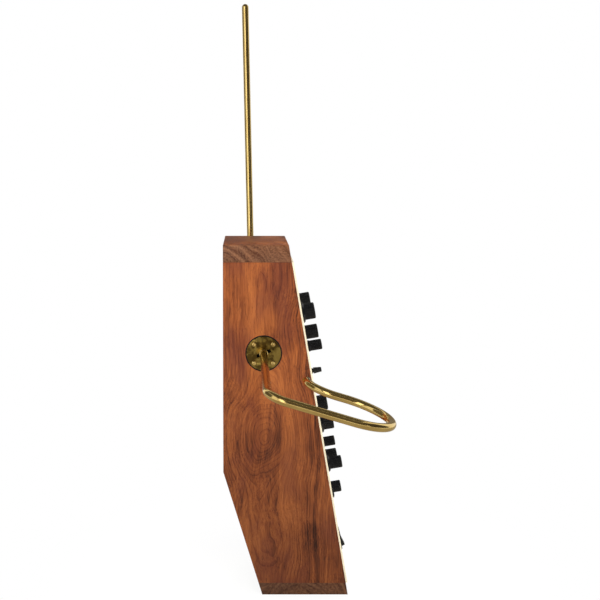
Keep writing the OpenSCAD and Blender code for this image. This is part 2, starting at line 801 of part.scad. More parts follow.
module jack_nut() {
    difference() {
        linear_extrude(jack_nut_t) nut_shape(jack_nut_af);
        translate([0, 0, -1]) cylinder(d = jack_neck_d + 2 * fit, h = jack_nut_t + 2);
    }
}

module headphone_jack() { color("dimgray") on_panel(-column_x, phones_z) jack(panel_t); }
module output_jacks() { color("dimgray") at_output_jacks() jack(connector_t); }
module jack_nuts() {
    color(nickel) {
        on_panel(-column_x, phones_z) jack_nut();
        at_output_jacks() jack_nut();
    }
}

module power_inlet() {
    color("#202020") at_power_inlet() {
        difference() {
            union() {
                cylinder(d = inlet_d, h = inlet_rim);
                translate([0, 0, -inlet_l]) cylinder(d = inlet_neck_d, h = inlet_l + eps);
            }
            translate([0, 0, -inlet_l + inlet_floor]) cylinder(d = inlet_bore_d, h = inlet_l);
        }
        translate([0, 0, -inlet_l + inlet_floor / 2])
            cylinder(d = inlet_pin_d, h = inlet_l - inlet_floor / 2);
    }
}

// a small board on posts, with a smoothing capacitor, a regulator and its heat sink
module power_supply() {
    color("darkgreen") translate([-supply[0] / 2, supply_y - supply[1] / 2, bottom_t + supply_rise])
        cube(supply);
    color(nickel) at_supply_posts() cylinder(d = supply_post_d, h = supply_rise);
    translate([0, supply_y, bottom_t + supply_rise + supply[2]]) {
        color("midnightblue") for (x = SUPPLY_CAP_X)
            translate([x, 0, 0]) cylinder(d = supply_cap[0], h = supply_cap[1]);
        color("silver") translate([sink_x, -sink[1] / 2, 0]) {
            cube(sink);
            for (i = [0:fins - 1]) translate([sink[0], i * fin_pitch, 0]) cube(fin);
        }
    }
}

module at_standoffs() {
    for (x = [-standoff_x, standoff_x], z = STANDOFF_Z) on_panel(x, z) children();
}

module main_board() {
    color("darkgreen") on_panel(0, board_low) translate([-board_w / 2, 0, -board_front - board_t])
        cube([board_w, (board_high - board_low) / cos(front_angle), board_t]);
}

module board_standoffs() {
    color(brass) at_standoffs() translate([0, 0, -board_front])
        cylinder(d = standoff_d, h = board_front - panel_t);
}

// the rows of parts on the main board's rear face
module board_parts() {
    rear = -board_front - board_t;
    for (z = ROW_Z) {
        color("#222222") for (x = CHIP_X)
            on_panel(x, z) translate([0, 0, rear - chip[2]]) cube(chip);
        color("silver") on_panel(can_x, z) translate([0, 0, rear - can[2]]) cube(can);
        color("midnightblue") on_panel(capacitor_x, z + capacitor_rise)
            translate([0, 0, rear - capacitor[1]]) cylinder(d = capacitor[0], h = capacitor[1]);
    }
}

module flange_screws() {
    color(nickel) at_flange_screws() translate([0, 0, -flange_t]) {
        translate([0, 0, -screw_l + flange_t]) cylinder(d = screw_d, h = screw_l - flange_t + eps);
        cylinder(d1 = screw_d, d2 = screw_head_d, h = flange_t - flange_sink);
    }
}

// a steel flange let into the underside, with the stand's threaded hole in its hub
module stand_flange() {
    color("gray") difference() {
        union() {
            cylinder(d = flange_d, h = flange_t, $fn = 96);
            cylinder(d = flange_hub_d, h = bottom_t - hub_gap);
        }
        translate([0, 0, -1]) cylinder(d = stand_thread_d, h = stand_thread_l + 1);
        at_flange_screws() translate([0, 0, -flange_t - 1]) {
            cylinder(d = screw_d + 2 * fit, h = flange_t + 2);
            translate([0, 0, 1]) cylinder(d1 = screw_d + 2 * fit, d2 = screw_head_d + 4 * fit,
                h = flange_t - flange_sink);
            translate([0, 0, 1 + flange_t - flange_sink - eps]) cylinder(d = screw_head_d + 4 * fit, h = 2);
        }
    }
}

// a D-shaped section: round with one flat, grown by gap
module shaft_section(gap) {
    difference() {
        circle(d = shaft_d + 2 * gap);
        translate([-shaft_d, shaft_d / 2 - flat_depth + gap]) square([2 * shaft_d, shaft_d]);
    }
}

module potentiometers() {
    for (k = KNOBS) on_panel(k[0], k[1]) color("silver") difference() {
        union() {
            translate([0, 0, -pot_rear]) cylinder(d = pot_d, h = pot_depth);
            translate([0, 0, -panel_t]) cylinder(d = neck_d, h = panel_t + neck_top);
        }
        translate([0, 0, -pot_rear + pot_floor])
            cylinder(d = shaft_d + 2 * fit, h = pot_rear + neck_top);
    }
}

module potentiometer_nuts() {
    for (k = KNOBS) on_panel(k[0], k[1]) color(nickel) difference() {
        union() {
            cylinder(d = nut_af, h = nut_washer_t);
            translate([0, 0, nut_washer_t]) linear_extrude(nut_t) nut_shape(nut_af);
        }
        translate([0, 0, -1]) cylinder(d = neck_d + 2 * fit, h = nut_washer_t + nut_t + 2);
    }
}

module shaft(k) {
    top = k[2][2] - knob_top_t - fit;
    color(nickel) on_panel(k[0], k[1]) {
        translate([0, 0, -pot_rear + pot_floor + 2 * fit])
            cylinder(d = shaft_d, h = pot_rear - pot_floor + neck_top);
        translate([0, 0, neck_top]) linear_extrude(top - neck_top) shaft_section(0);
    }
}

module flute_ring(d) {
    polygon([for (i = [0:4 * flutes - 1]) let (a = 90 * (i + 0.5) / flutes)
        (d / 2 - (i % 4 < 2 ? 0 : flute_depth)) * [cos(a), sin(a)]]);
}

// a fluted grip on a round skirt, hollow over the nut, with a D-shaped hole and a pointer groove
module knob(k) {
    grip_d = k[2][0];
    skirt_d = k[2][1];
    top = k[2][2];
    hollow_d = nut_af / cos(30) + 2 * hollow_gap;
    color(knob_black) on_panel(k[0], k[1]) difference() {
        union() {
            translate([0, 0, knob_gap]) cylinder(d1 = skirt_d, d2 = (skirt_d + grip_d) / 2, h = skirt_t);
            translate([0, 0, knob_gap + skirt_t]) linear_extrude(top - cap_h - knob_gap - skirt_t)
                flute_ring(grip_d);
            translate([0, 0, top - cap_h]) cylinder(d1 = grip_d - cap_inset,
                d2 = grip_d - cap_inset - cap_taper, h = cap_h);
        }
        translate([0, 0, knob_gap - eps]) cylinder(d = hollow_d, h = nut_t + nut_washer_t);
        translate([0, 0, knob_gap]) cylinder(d = neck_d + 2 * hollow_gap,
            h = neck_top - knob_gap + 2 * hollow_gap);
        translate([0, 0, neck_top]) linear_extrude(top - neck_top - knob_top_t) shaft_section(fit);
        translate([-pointer_w / 2, pointer_root, top - pointer_depth])
            cube([pointer_w, grip_d / 2, pointer_depth + eps]);
    }
}

left_side_board();
right_side_board();
top_board();
bottom_board();
back_board();
back_battens();
connector_plate();
front_panel();
panel_screws();
back_screws();
connector_plate_screws();
volume_socket_plate();
pitch_socket_plate();
volume_plate_screws();
pitch_plate_screws();
volume_socket_bush();
pitch_socket_bush();
antenna_contacts();
antenna_leads();
volume_antenna();
pitch_antenna();
toggle_switch();
toggle_lever();
rocker_frame();
rocker_button();
headphone_jack();
output_jacks();
jack_nuts();
power_inlet();
power_supply();
main_board();
board_standoffs();
board_parts();
volume_coil();
pitch_coil();
stand_flange();
flange_screws();
potentiometers();
potentiometer_nuts();
knob(KNOBS[0]);  // volume_tuning_knob
knob(KNOBS[1]);  // pitch_tuning_knob
knob(KNOBS[2]);  // response_knob
knob(KNOBS[3]);  // register_knob
knob(KNOBS[4]);  // waveform_knob
knob(KNOBS[5]);  // brightness_knob
knob(KNOBS[6]);  // filter_knob
knob(KNOBS[7]);  // resonance_knob
knob(KNOBS[8]);  // drive_knob
knob(KNOBS[9]);  // level_knob
shaft(KNOBS[0]);  // volume_tuning_shaft
shaft(KNOBS[1]);  // pitch_tuning_shaft
shaft(KNOBS[2]);  // response_shaft
shaft(KNOBS[3]);  // register_shaft
shaft(KNOBS[4]);  // waveform_shaft
shaft(KNOBS[5]);  // brightness_shaft
shaft(KNOBS[6]);  // filter_shaft
shaft(KNOBS[7]);  // resonance_shaft
shaft(KNOBS[8]);  // drive_shaft
shaft(KNOBS[9]);  // level_shaft
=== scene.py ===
# %% [markdown]
# # A theremin in a walnut cabinet
# The real instrument is a narrow, tall box of walnut boards. A cream panel with knobs slopes towards
# the player, a thick brass loop for volume comes out of one side and a brass rod for pitch out of the
# other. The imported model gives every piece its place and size. This script gives the pieces their
# finish: rounded edges, turned and fluted knobs, swept rods, printed dials, and wood that has rings.

import json
import math

import bmesh
import bpy
from mathutils import Matrix, Vector


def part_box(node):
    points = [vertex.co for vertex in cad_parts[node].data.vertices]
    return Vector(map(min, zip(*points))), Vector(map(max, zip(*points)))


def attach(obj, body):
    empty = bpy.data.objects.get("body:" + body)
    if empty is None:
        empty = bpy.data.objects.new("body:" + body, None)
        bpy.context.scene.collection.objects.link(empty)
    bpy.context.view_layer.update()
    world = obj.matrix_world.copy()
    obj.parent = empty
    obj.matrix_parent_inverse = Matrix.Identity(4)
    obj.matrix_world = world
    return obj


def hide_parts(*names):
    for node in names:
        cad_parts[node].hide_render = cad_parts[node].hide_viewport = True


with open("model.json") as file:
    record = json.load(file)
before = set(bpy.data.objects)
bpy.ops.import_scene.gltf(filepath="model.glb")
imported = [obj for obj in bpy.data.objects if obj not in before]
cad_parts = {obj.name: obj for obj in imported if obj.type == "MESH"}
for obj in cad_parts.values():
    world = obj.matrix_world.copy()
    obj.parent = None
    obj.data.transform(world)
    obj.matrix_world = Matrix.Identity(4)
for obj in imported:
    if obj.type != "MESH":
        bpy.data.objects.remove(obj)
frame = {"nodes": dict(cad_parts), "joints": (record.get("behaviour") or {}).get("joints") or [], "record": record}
scene = bpy.context.scene
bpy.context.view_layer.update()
MM = 0.001

# %% [markdown]
# ## Camera
# The photograph looks at the left side board from a step and a half away, a little from above. A lens
# of 57 mm at that distance gives the same slight narrowing of the base. The lens shift puts the
# instrument where it stands in the picture.

# %% Place the camera
CAMERA_PLACE = (-1.4318, 0.0877, 0.6556)
CAMERA_PITCH = math.radians(-5.5)
CAMERA_LENS = 57
CAMERA_SHIFT = (0.09, -0.095)

camera = bpy.data.objects.new("camera", bpy.data.cameras.new("camera"))
scene.collection.objects.link(camera)
scene.camera = camera
camera.location = CAMERA_PLACE
camera.rotation_euler = (math.radians(90) + CAMERA_PITCH, 0, math.radians(-90))
camera.data.lens = CAMERA_LENS
camera.data.shift_x, camera.data.shift_y = CAMERA_SHIFT
scene.view_settings.view_transform = "Standard"

# %% [markdown]
# ## A short way to write shader trees
# A shader is a tree of nodes joined by links. Two helpers keep the recipes below readable: one adds a
# node and fills its sockets, with either a value or another node's output, and one does arithmetic.

# %% Node helpers
def add_node(tree, kind, sockets=None, **settings):
    """Adds a node. sockets maps a socket's name or number to a value or to an output to link."""
    node = tree.nodes.new(kind)
    for name, value in settings.items():
        setattr(node, name, value)
    for key, value in (sockets or {}).items():
        if isinstance(value, bpy.types.Node):
            value = value.outputs[0]
        if isinstance(value, bpy.types.NodeSocket):
            tree.links.new(value, node.inputs[key])
        else:
            node.inputs[key].default_value = value
    return node


def maths(tree, operation, *values, clamp=False):
    """One arithmetic step on numbers or outputs."""
    return add_node(tree, "ShaderNodeMath", dict(enumerate(values)), operation=operation, use_clamp=clamp)


def mix_colour(tree, share, first, second, blend="MIX"):
    """Blends two colours. Sockets 0, 6 and 7 of the Mix node are its share and its two colours."""
    node = add_node(tree, "ShaderNodeMix", {0: share}, data_type="RGBA", blend_type=blend)
    for key, value in ((6, first), (7, second)):
        if isinstance(value, tuple):
            node.inputs[key].default_value = (*value, 1)
        else:
            tree.links.new(value, node.inputs[key])
    return node.outputs[2]


def ramp(tree, share, stops):
    """Turns a number into a colour, from a list of (place, colour)."""
    node = add_node(tree, "ShaderNodeValToRGB", {0: share})
    for i, (place, colour) in enumerate(stops):
        stop = node.color_ramp.elements[i] if i < 2 else node.color_ramp.elements.new(place)
        stop.position, stop.color = place, (*colour, 1)
    return node.outputs[0]


def threshold(tree, value, low, high):
    """0 below low, 1 above high, smooth between."""
    sockets = {"Value": value, "From Min": low, "From Max": high}
    return add_node(tree, "ShaderNodeMapRange", sockets, interpolation_type="SMOOTHSTEP").outputs[0]


def noise(tree, place, scale, detail=2.0, **sockets):
    """Soft noise about 0.5, with that many bumps a metre."""
    sockets = {"Vector": place, "Scale": scale, "Detail": detail, **sockets}
    return add_node(tree, "ShaderNodeTexNoise", sockets).outputs[0]


def new_finish(name, **shader):
    """A material with a Principled shader: its tree, its shader node and its object coordinates."""
    material = bpy.data.materials.new(name)
    material.use_nodes = True
    tree = material.node_tree
    principled = tree.nodes["Principled BSDF"]
    for socket, value in shader.items():
        principled.inputs[socket.replace("_", " ")].default_value = value
    place = add_node(tree, "ShaderNodeTexCoord").outputs["Object"]
    return material, tree, principled, place


def stretched(tree, place, scale):
    """The coordinates stretched: a small number draws a pattern out along that axis."""
    return add_node(tree, "ShaderNodeVectorMath", {0: place, 1: scale}, operation="MULTIPLY").outputs[0]


def emboss(tree, principled, height, depth, strength=1.0):
    """Feeds a height pattern to the shader's normal; depth is in metres."""
    sockets = {"Height": height, "Distance": depth, "Strength": strength}
    tree.links.new(add_node(tree, "ShaderNodeBump", sockets).outputs[0], principled.inputs["Normal"])


# %% [markdown]
# ## Walnut
# A board is a slice of a tree, so its figure is not a picture but a solid thing: the rings are nested
# shells round the heart of the trunk. Here the distance from a bent heart line gives the rings, and a
# slow noise bends them as a real trunk does. Where the heart line swings through a board's face, the
# slice shows nested loops that open into straight grain, and the same recipe shows arcs on the sawn
# end. Fine stretched noise adds fibres and pores, and a broad one shifts the hue from orange to purple.

# %% Walnut recipe
WALNUT_DARK = (0.038, 0.010, 0.004)
WALNUT_MID = (0.187, 0.046, 0.011)
WALNUT_LIGHT = (0.340, 0.100, 0.023)
WALNUT_PURPLE = (0.115, 0.026, 0.015)
# sawn-end colours, lighter and greyer than the face: the end grain's own look with a painted sheen mixed in
SAWN_DARK, SAWN_LIGHT_AND_SHEEN = (0.080, 0.030, 0.014), (0.300, 0.140, 0.070)
PORE_COLOUR = (0.020, 0.008, 0.005)
RING_SPACING = 3.2 * MM
HEART_RISE, HEART_RUN = 46 * MM, 85 * MM
FADE_SPAN = (0.20, -0.20)  # metres along the grain, from where the fade starts to where it is full


def axis_vector(axis):
    """A unit vector along x, y or z."""
    return tuple(float(axis == name) for name in "xyz")


def bent(tree, place, size, reach, seed):
    """The coordinates pushed about by up to reach metres, in bends of about size metres."""
    where = stretched(tree, place, (1, 1, 0.55))
    push = add_node(tree, "ShaderNodeTexNoise", {"Vector": where, "Scale": 1 / size, "Detail": 2.0,
                                                 "Distortion": 0.3 + 0.1 * seed}).outputs["Color"]
    push = add_node(tree, "ShaderNodeVectorMath", {0: push, 1: (0.5, 0.5, 0.5)}, operation="SUBTRACT")
    push = add_node(tree, "ShaderNodeVectorMath", {0: push, "Scale": 2 * reach}, operation="SCALE")
    return add_node(tree, "ShaderNodeVectorMath", {0: place, 1: push}).outputs[0]


def walnut(name, heart, across, deep, along, seed, tone_and_shade=1.0, gloss=0.33, fade=0.0):
    """Walnut whose grain runs along one axis and whose heart line meets the face at the point heart.

    fade darkens the board towards the low end of the grain."""
    material, tree, principled, place = new_finish(name, Specular_IOR_Level=0.2)
    centred = add_node(tree, "ShaderNodeVectorMath", {0: place, 1: heart}, operation="SUBTRACT").outputs[0]
    parts = add_node(tree, "ShaderNodeSeparateXYZ", {0: centred})
    board = add_node(tree, "ShaderNodeCombineXYZ",
                     {i: parts.outputs["xyz".index(axis)] for i, axis in enumerate((across, deep, along))})
    shift = (seed, 3 * seed, 7 * seed)
    seeded = add_node(tree, "ShaderNodeVectorMath", {0: board, 1: shift}).outputs[0]

    # the trunk's bends: broad ones, and small ones that ripple the rings
    trunk = bent(tree, bent(tree, seeded, 120 * MM, 26 * MM, seed), 30 * MM, 3.0 * MM, seed)
    straight = add_node(tree, "ShaderNodeVectorMath", {0: trunk, 1: shift}, operation="SUBTRACT")
    bends = add_node(tree, "ShaderNodeSeparateXYZ", {0: straight})
    swing = maths(tree, "TANH", maths(tree, "DIVIDE", bends.outputs[2], HEART_RUN))
    heart_d = maths(tree, "MULTIPLY_ADD", swing, HEART_RISE, bends.outputs[1])
    radius = maths(tree, "SQRT", maths(tree, "ADD", maths(tree, "POWER", bends.outputs[0], 2),
                                       maths(tree, "POWER", heart_d, 2)))
    ring = maths(tree, "DIVIDE", radius, RING_SPACING)

    # broad and narrow rings, the thin dark line that ends each, and the fibres that follow the bends
    tones = add_node(tree, "ShaderNodeTexNoise", {"W": ring, "Scale": 0.55, "Detail": 4.0},
                     noise_dimensions="1D").outputs[0]
    late = maths(tree, "POWER", maths(tree, "FRACT", ring), 4)
    fibre = noise(tree, stretched(tree, trunk, (1, 1, 0.022)), 1500, 4)
    streak = noise(tree, stretched(tree, trunk, (1, 1, 0.035)), 420, 3)
    band = noise(tree, stretched(tree, trunk, (1, 1, 0.16)), 42, 3)
    cloud = noise(tree, seeded, 16, 2)
    shade = maths(tree, "MULTIPLY_ADD", tones, 0.34, maths(tree, "MULTIPLY", band, 0.66))
    shade = maths(tree, "MULTIPLY_ADD", cloud, 0.30, shade)
    shade = maths(tree, "MULTIPLY_ADD", streak, 0.36, shade)
    shade = maths(tree, "MULTIPLY_ADD", fibre, 0.50, shade)
    shade = maths(tree, "SUBTRACT", shade, maths(tree, "MULTIPLY", late, 0.13))
    shade = maths(tree, "SUBTRACT", shade, 0.525)
    colour = ramp(tree, shade, [(0.28, WALNUT_DARK), (0.50, WALNUT_MID), (0.74, WALNUT_LIGHT)])
    patch = threshold(tree, noise(tree, stretched(tree, seeded, (1, 1, 0.45)), 22, 2), 0.48, 0.68)
    colour = mix_colour(tree, maths(tree, "MULTIPLY", patch, 0.45), colour, WALNUT_PURPLE)

    # pores are short dark dashes; on a sawn end they are dots. The sawn end is also coloured lighter and greyer:
    # partly the end grain's own look, partly a painted sheen of pale reflected light
    pore = noise(tree, stretched(tree, trunk, (1, 1, 0.05)), 1900, 1)
    pore = threshold(tree, pore, 0.62, 0.70)
    colour = mix_colour(tree, maths(tree, "MULTIPLY", pore, 0.5), colour, PORE_COLOUR)
    facing = add_node(tree, "ShaderNodeVectorMath",
                      {0: add_node(tree, "ShaderNodeTexCoord").outputs["Normal"], 1: axis_vector(along)},
                      operation="DOT_PRODUCT").outputs["Value"]
    sawn = threshold(tree, maths(tree, "ABSOLUTE", facing), 0.6, 0.9)
    sawn_tone = maths(tree, "MULTIPLY_ADD", tones, 0.8, maths(tree, "MULTIPLY_ADD", streak, 0.9, -0.42))
    sawn_colour_and_sheen = ramp(tree, sawn_tone, [(0.22, SAWN_DARK), (0.72, SAWN_LIGHT_AND_SHEEN)])
    colour = mix_colour(tree, maths(tree, "MULTIPLY", sawn, 0.8), colour, sawn_colour_and_sheen)
    height = maths(tree, "SUBTRACT", 1.0, maths(tree, "MULTIPLY", threshold(
        tree, parts.outputs["xyz".index(along)], *FADE_SPAN), fade))
    # the whole board scaled by its tone; for the bottom board this is painted shade, as for a board turned away
    # from the light
    height = maths(tree, "MULTIPLY", height, tone_and_shade)
    level = add_node(tree, "ShaderNodeCombineXYZ", {0: height, 1: height, 2: height}).outputs[0]
    colour = mix_colour(tree, 1.0, colour, level, "MULTIPLY")
    tree.links.new(colour, principled.inputs["Base Color"])
    tree.links.new(maths(tree, "MULTIPLY_ADD", fibre, 0.25, gloss).outputs[0],
                   principled.inputs["Roughness"])
    emboss(tree, principled, maths(tree, "SUBTRACT", maths(tree, "MULTIPLY", fibre, 0.4), pore), 0.06 * MM)
    return material


side_low = Vector(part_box("left_side_board")[0])
top_low = Vector(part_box("top_board")[0])
back_high = Vector(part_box("back_board")[1])
FIGURE_Y, FIGURE_Z = 65 * MM, 235 * MM
walnut_left = walnut("walnut_left_side", (side_low.x, FIGURE_Y, FIGURE_Z), "y", "x", "z", 0.37, 1.1,
                     fade=0.4)
walnut_right = walnut("walnut_right_side", (-side_low.x, FIGURE_Y, 0.31), "y", "x", "z", 1.91)
walnut_back = walnut("walnut_back", (0.02, back_high.y, 0.4), "x", "y", "z", 2.63)
walnut_top = walnut("walnut_top", (0.0, 0.14, top_low.z - 0.09), "y", "z", "x", 3.17, 0.8, 0.25)
# the bottom board's tone of 0.42 is painted shade: its colour is darkened as for a board turned down, away from
# the light
walnut_bottom = walnut("walnut_bottom", (0.0, 0.02, -0.06), "y", "z", "x", 4.71, 0.42)
print("walnut mixed for five boards")

# %% [markdown]
# ## Brass
# Both antennas are polished brass rod. Polished metal is nearly all reflection, so its look comes from
# what stands round it, set up with the lights below. The recipe only adds what time does: a slight
# brown cast in places and fine wiping marks that roughen the shine. The socket plates have been
# handled more: they are duller and mottled olive brown.

# %% Metal recipes
BRASS = (0.82, 0.60, 0.22)
BRASS_TARNISH = (0.55, 0.34, 0.10)
PLATE_BRASS = (0.43, 0.30, 0.075)
PLATE_TARNISH = (0.12, 0.075, 0.018)
NICKEL = (0.72, 0.71, 0.68)
STEEL = (0.42, 0.42, 0.43)
ZINC = (0.55, 0.55, 0.56)


def metal(name, bright, dull, roughness, patch_size, wear=0.5, bumps=0.01):
    """Metal with dull patches of about patch_size metres and fine wiping marks."""
    material, tree, principled, place = new_finish(name, Metallic=1.0)
    patch = threshold(tree, noise(tree, place, 1 / patch_size, 4), 0.42, 0.68)
    speck = noise(tree, place, 12 / patch_size, 3)
    share = maths(tree, "MULTIPLY", maths(tree, "MULTIPLY_ADD", speck, 0.6, patch), wear, clamp=True)
    tree.links.new(mix_colour(tree, share.outputs[0], bright, dull), principled.inputs["Base Color"])
    marks = noise(tree, stretched(tree, place, (1, 0.15, 1)), 2600, 2)
    rough = maths(tree, "MULTIPLY_ADD", marks, 0.10, maths(tree, "MULTIPLY_ADD", patch, 0.08, roughness))
    tree.links.new(rough.outputs[0], principled.inputs["Roughness"])
    emboss(tree, principled, marks, bumps * MM)
    return material


antenna_brass = metal("antenna_brass", BRASS, BRASS_TARNISH, 0.07, 30 * MM, 0.35)
plate_brass = metal("socket_plate_brass", PLATE_BRASS, PLATE_TARNISH, 0.24, 9 * MM, 0.9, 0.03)
screw_brass = metal("plate_screw_brass", BRASS, BRASS_TARNISH, 0.18, 6 * MM, 0.4)
nickel = metal("nickel", NICKEL, (0.5, 0.48, 0.44), 0.16, 8 * MM, 0.4)
pot_metal = metal("potentiometer_metal", ZINC, (0.4, 0.4, 0.42), 0.35, 8 * MM, 0.5)
flange_steel = metal("flange_steel", STEEL, (0.28, 0.27, 0.26), 0.35, 20 * MM, 0.6, 0.04)

# %% [markdown]
# ## Plastics, paint and the inside
# Knobs are pressed from a hard black plastic that is glossy but never perfect: a fine speckle breaks
# the shine. The panel is sheet metal under a satin cream coat with a faint orange-peel skin. The
# pieces inside the cabinet get plain recipes of their own, so that nothing is left a flat colour.

# %% Plastic and paint recipes
KNOB_BLACK = (0.004, 0.0042, 0.005)
SWITCH_BLACK = (0.007, 0.007, 0.008)
CREAM = (0.70, 0.62, 0.44)
PRINT_BROWN = (0.030, 0.020, 0.015)


def coated(name, colour, roughness, spread=0.12, grain=900, depth=0.01, second=None, **shader):
    """A dielectric whose colour and gloss vary a little, with a fine skin of the given depth in mm."""
    material, tree, principled, place = new_finish(name, **shader)
    cloud = noise(tree, place, 60, 3)
    skin = noise(tree, place, grain, 3)
    second = second or tuple(0.75 * c for c in colour)
    tree.links.new(mix_colour(tree, maths(tree, "MULTIPLY", cloud, 0.8).outputs[0], colour, second),
                   principled.inputs["Base Color"])
    rough = maths(tree, "MULTIPLY_ADD", cloud, spread, roughness - spread / 2)
    tree.links.new(rough.outputs[0], principled.inputs["Roughness"])
    emboss(tree, principled, skin, depth * MM)
    return material


knob_plastic = coated("knob_plastic", KNOB_BLACK, 0.17, 0.12, 1800, 0.003, Specular_IOR_Level=0.4)
switch_plastic = coated("switch_plastic", SWITCH_BLACK, 0.34, 0.1, 1600, 0.01)
cream_paint = coated("cream_paint", CREAM, 0.38, 0.08, 1100, 0.012, tuple(0.94 * c for c in CREAM))
panel_print = coated("panel_print", PRINT_BROWN, 0.5)
pointer_paint = coated("pointer_paint", (0.78, 0.74, 0.62), 0.45)
insulator = coated("insulator_nylon", (0.006, 0.006, 0.007), 0.45, Specular_IOR_Level=0.2)
lead_red = coated("lead_insulation", (0.35, 0.03, 0.025), 0.4)
circuit_board = coated("circuit_board", (0.03, 0.13, 0.06), 0.3, second=(0.02, 0.09, 0.04))

# %% Batten wood and coil winding
def batten_recipe():
    """Planed softwood with the grain up the batten."""
    material, tree, principled, place = new_finish("batten_wood", Roughness=0.6)
    grain = noise(tree, stretched(tree, place, (1, 1, 0.05)), 420, 4)
    tree.links.new(ramp(tree, grain, [(0.3, (0.42, 0.26, 0.12)), (0.7, (0.66, 0.47, 0.27))]),
                   principled.inputs["Base Color"])
    emboss(tree, principled, grain, 0.05 * MM)
    return material


def winding_recipe():
    """Lacquered copper wire in close turns round an upright former."""
    material, tree, principled, place = new_finish("coil_winding", Roughness=0.3, Metallic=0.8)
    turns = add_node(tree, "ShaderNodeTexWave", {"Vector": place, "Scale": 300.0, "Distortion": 0.6},
                     bands_direction="Z").outputs[1]
    tree.links.new(ramp(tree, turns, [(0.1, (0.10, 0.03, 0.01)), (0.7, (0.62, 0.26, 0.09))]),
                   principled.inputs["Base Color"])
    emboss(tree, principled, turns, 0.15 * MM)
    return material


batten_wood, coil_winding = batten_recipe(), winding_recipe()

# %% [markdown]
# ## Dress the CAD pieces
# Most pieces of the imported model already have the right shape. Each takes its finish here, by name.
# Those that are replaced further down keep theirs too, so that the table stays complete.

# %% Give every CAD piece its finish
KNOBS = ["volume_tuning", "pitch_tuning", "response", "register", "waveform", "brightness", "filter",
         "resonance", "drive", "level"]
FINISHES = {
    walnut_left: ["left_side_board"],
    walnut_right: ["right_side_board"],
    walnut_top: ["top_board"],
    walnut_bottom: ["bottom_board"],
    walnut_back: ["back_board"],
    batten_wood: ["back_battens"],
    cream_paint: ["front_panel", "connector_plate"],
    nickel: ["panel_screws", "back_screws", "connector_plate_screws", "flange_screws",
             "potentiometer_nuts", "board_standoffs"],
    plate_brass: ["volume_socket_plate", "pitch_socket_plate", "antenna_contacts"],
    screw_brass: ["volume_plate_screws", "pitch_plate_screws"],
    antenna_brass: ["volume_antenna", "pitch_antenna"],
    insulator: ["volume_socket_bush", "pitch_socket_bush"],
    lead_red: ["antenna_leads"],
    switch_plastic: ["toggle_lever", "rocker_frame", "rocker_button", "headphone_jack", "output_jacks",
                     "power_inlet", "toggle_switch", "jack_nuts"],
    circuit_board: ["power_supply", "main_board", "board_parts"],
    coil_winding: ["volume_coil", "pitch_coil"],
    flange_steel: ["stand_flange"],
    pot_metal: ["potentiometers"] + [name + "_shaft" for name in KNOBS],
    knob_plastic: [name + "_knob" for name in KNOBS],
}
for finish, names in FINISHES.items():
    for name in names:
        slots = frame["nodes"][name].data.materials
        slots.clear()
        slots.append(finish)
print("finished", sum(len(names) for names in FINISHES.values()), "CAD pieces")

# %% [markdown]
# ## Soft edges
# No sawn board or pressed nut has a perfectly sharp edge: a small round catches the light, and two
# rounds that meet make the fine dark line of a joint. A copy of the CAD mesh is merged from its loose
# triangles, its flat faces are joined again, and its sharp edges are bevelled. The copy then stands
# for the CAD piece.

# %% Replace CAD pieces by softened copies
FLAT_ANGLE = math.radians(2)
SHARP_ANGLE = math.radians(28)


def shade_smooth(mesh, angle=SHARP_ANGLE):
    """Smooth shading that keeps edges sharper than the angle."""
    mesh.shade_smooth()
    mesh.set_sharp_from_angle(angle=angle)


def finish_mesh(name, mesh, material, body, slot, *replaced):
    """Makes an object of a mesh, gives it one finish, and ties it to a body and to what it replaces."""
    piece = bpy.data.objects.new(name, mesh)
    scene.collection.objects.link(piece)
    if material:
        mesh.materials.clear()
        mesh.materials.append(material)
    if replaced:
        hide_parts(*replaced)
    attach(piece, body)
    return piece


def evaluated_mesh(piece):
    """The mesh that the object's modifiers make, as plain data; the modifiers are then removed."""
    mesh = bpy.data.meshes.new_from_object(piece.evaluated_get(bpy.context.evaluated_depsgraph_get()))
    piece.modifiers.clear()
    return mesh


def softened(node, radius, body="cabinet", segments=2):
    """Replaces a CAD piece by a copy whose edges are rounded by radius metres."""
    source = frame["nodes"][node]
    work = bmesh.new()
    work.from_mesh(source.data)
    bmesh.ops.remove_doubles(work, verts=work.verts, dist=0.001 * MM)
    bmesh.ops.dissolve_limit(work, angle_limit=FLAT_ANGLE, verts=work.verts, edges=work.edges)
    mesh = bpy.data.meshes.new(node + "_soft")
    work.to_mesh(mesh)
    work.free()
    piece = bpy.data.objects.new(node + "_work", mesh)
    scene.collection.objects.link(piece)
    bevel = piece.modifiers.new("soft_edge", "BEVEL")
    bevel.width, bevel.segments = radius, segments
    bevel.limit_method, bevel.angle_limit = "ANGLE", SHARP_ANGLE
    bevel.harden_normals = False
    mesh = evaluated_mesh(piece)
    bpy.data.objects.remove(piece)
    shade_smooth(mesh)
    slot_name = next(row["material_slot"] for row in frame["record"]["subparts"] if row["node"] == node)
    return finish_mesh("soft_" + node, mesh, source.data.materials[0], body, slot_name, node)


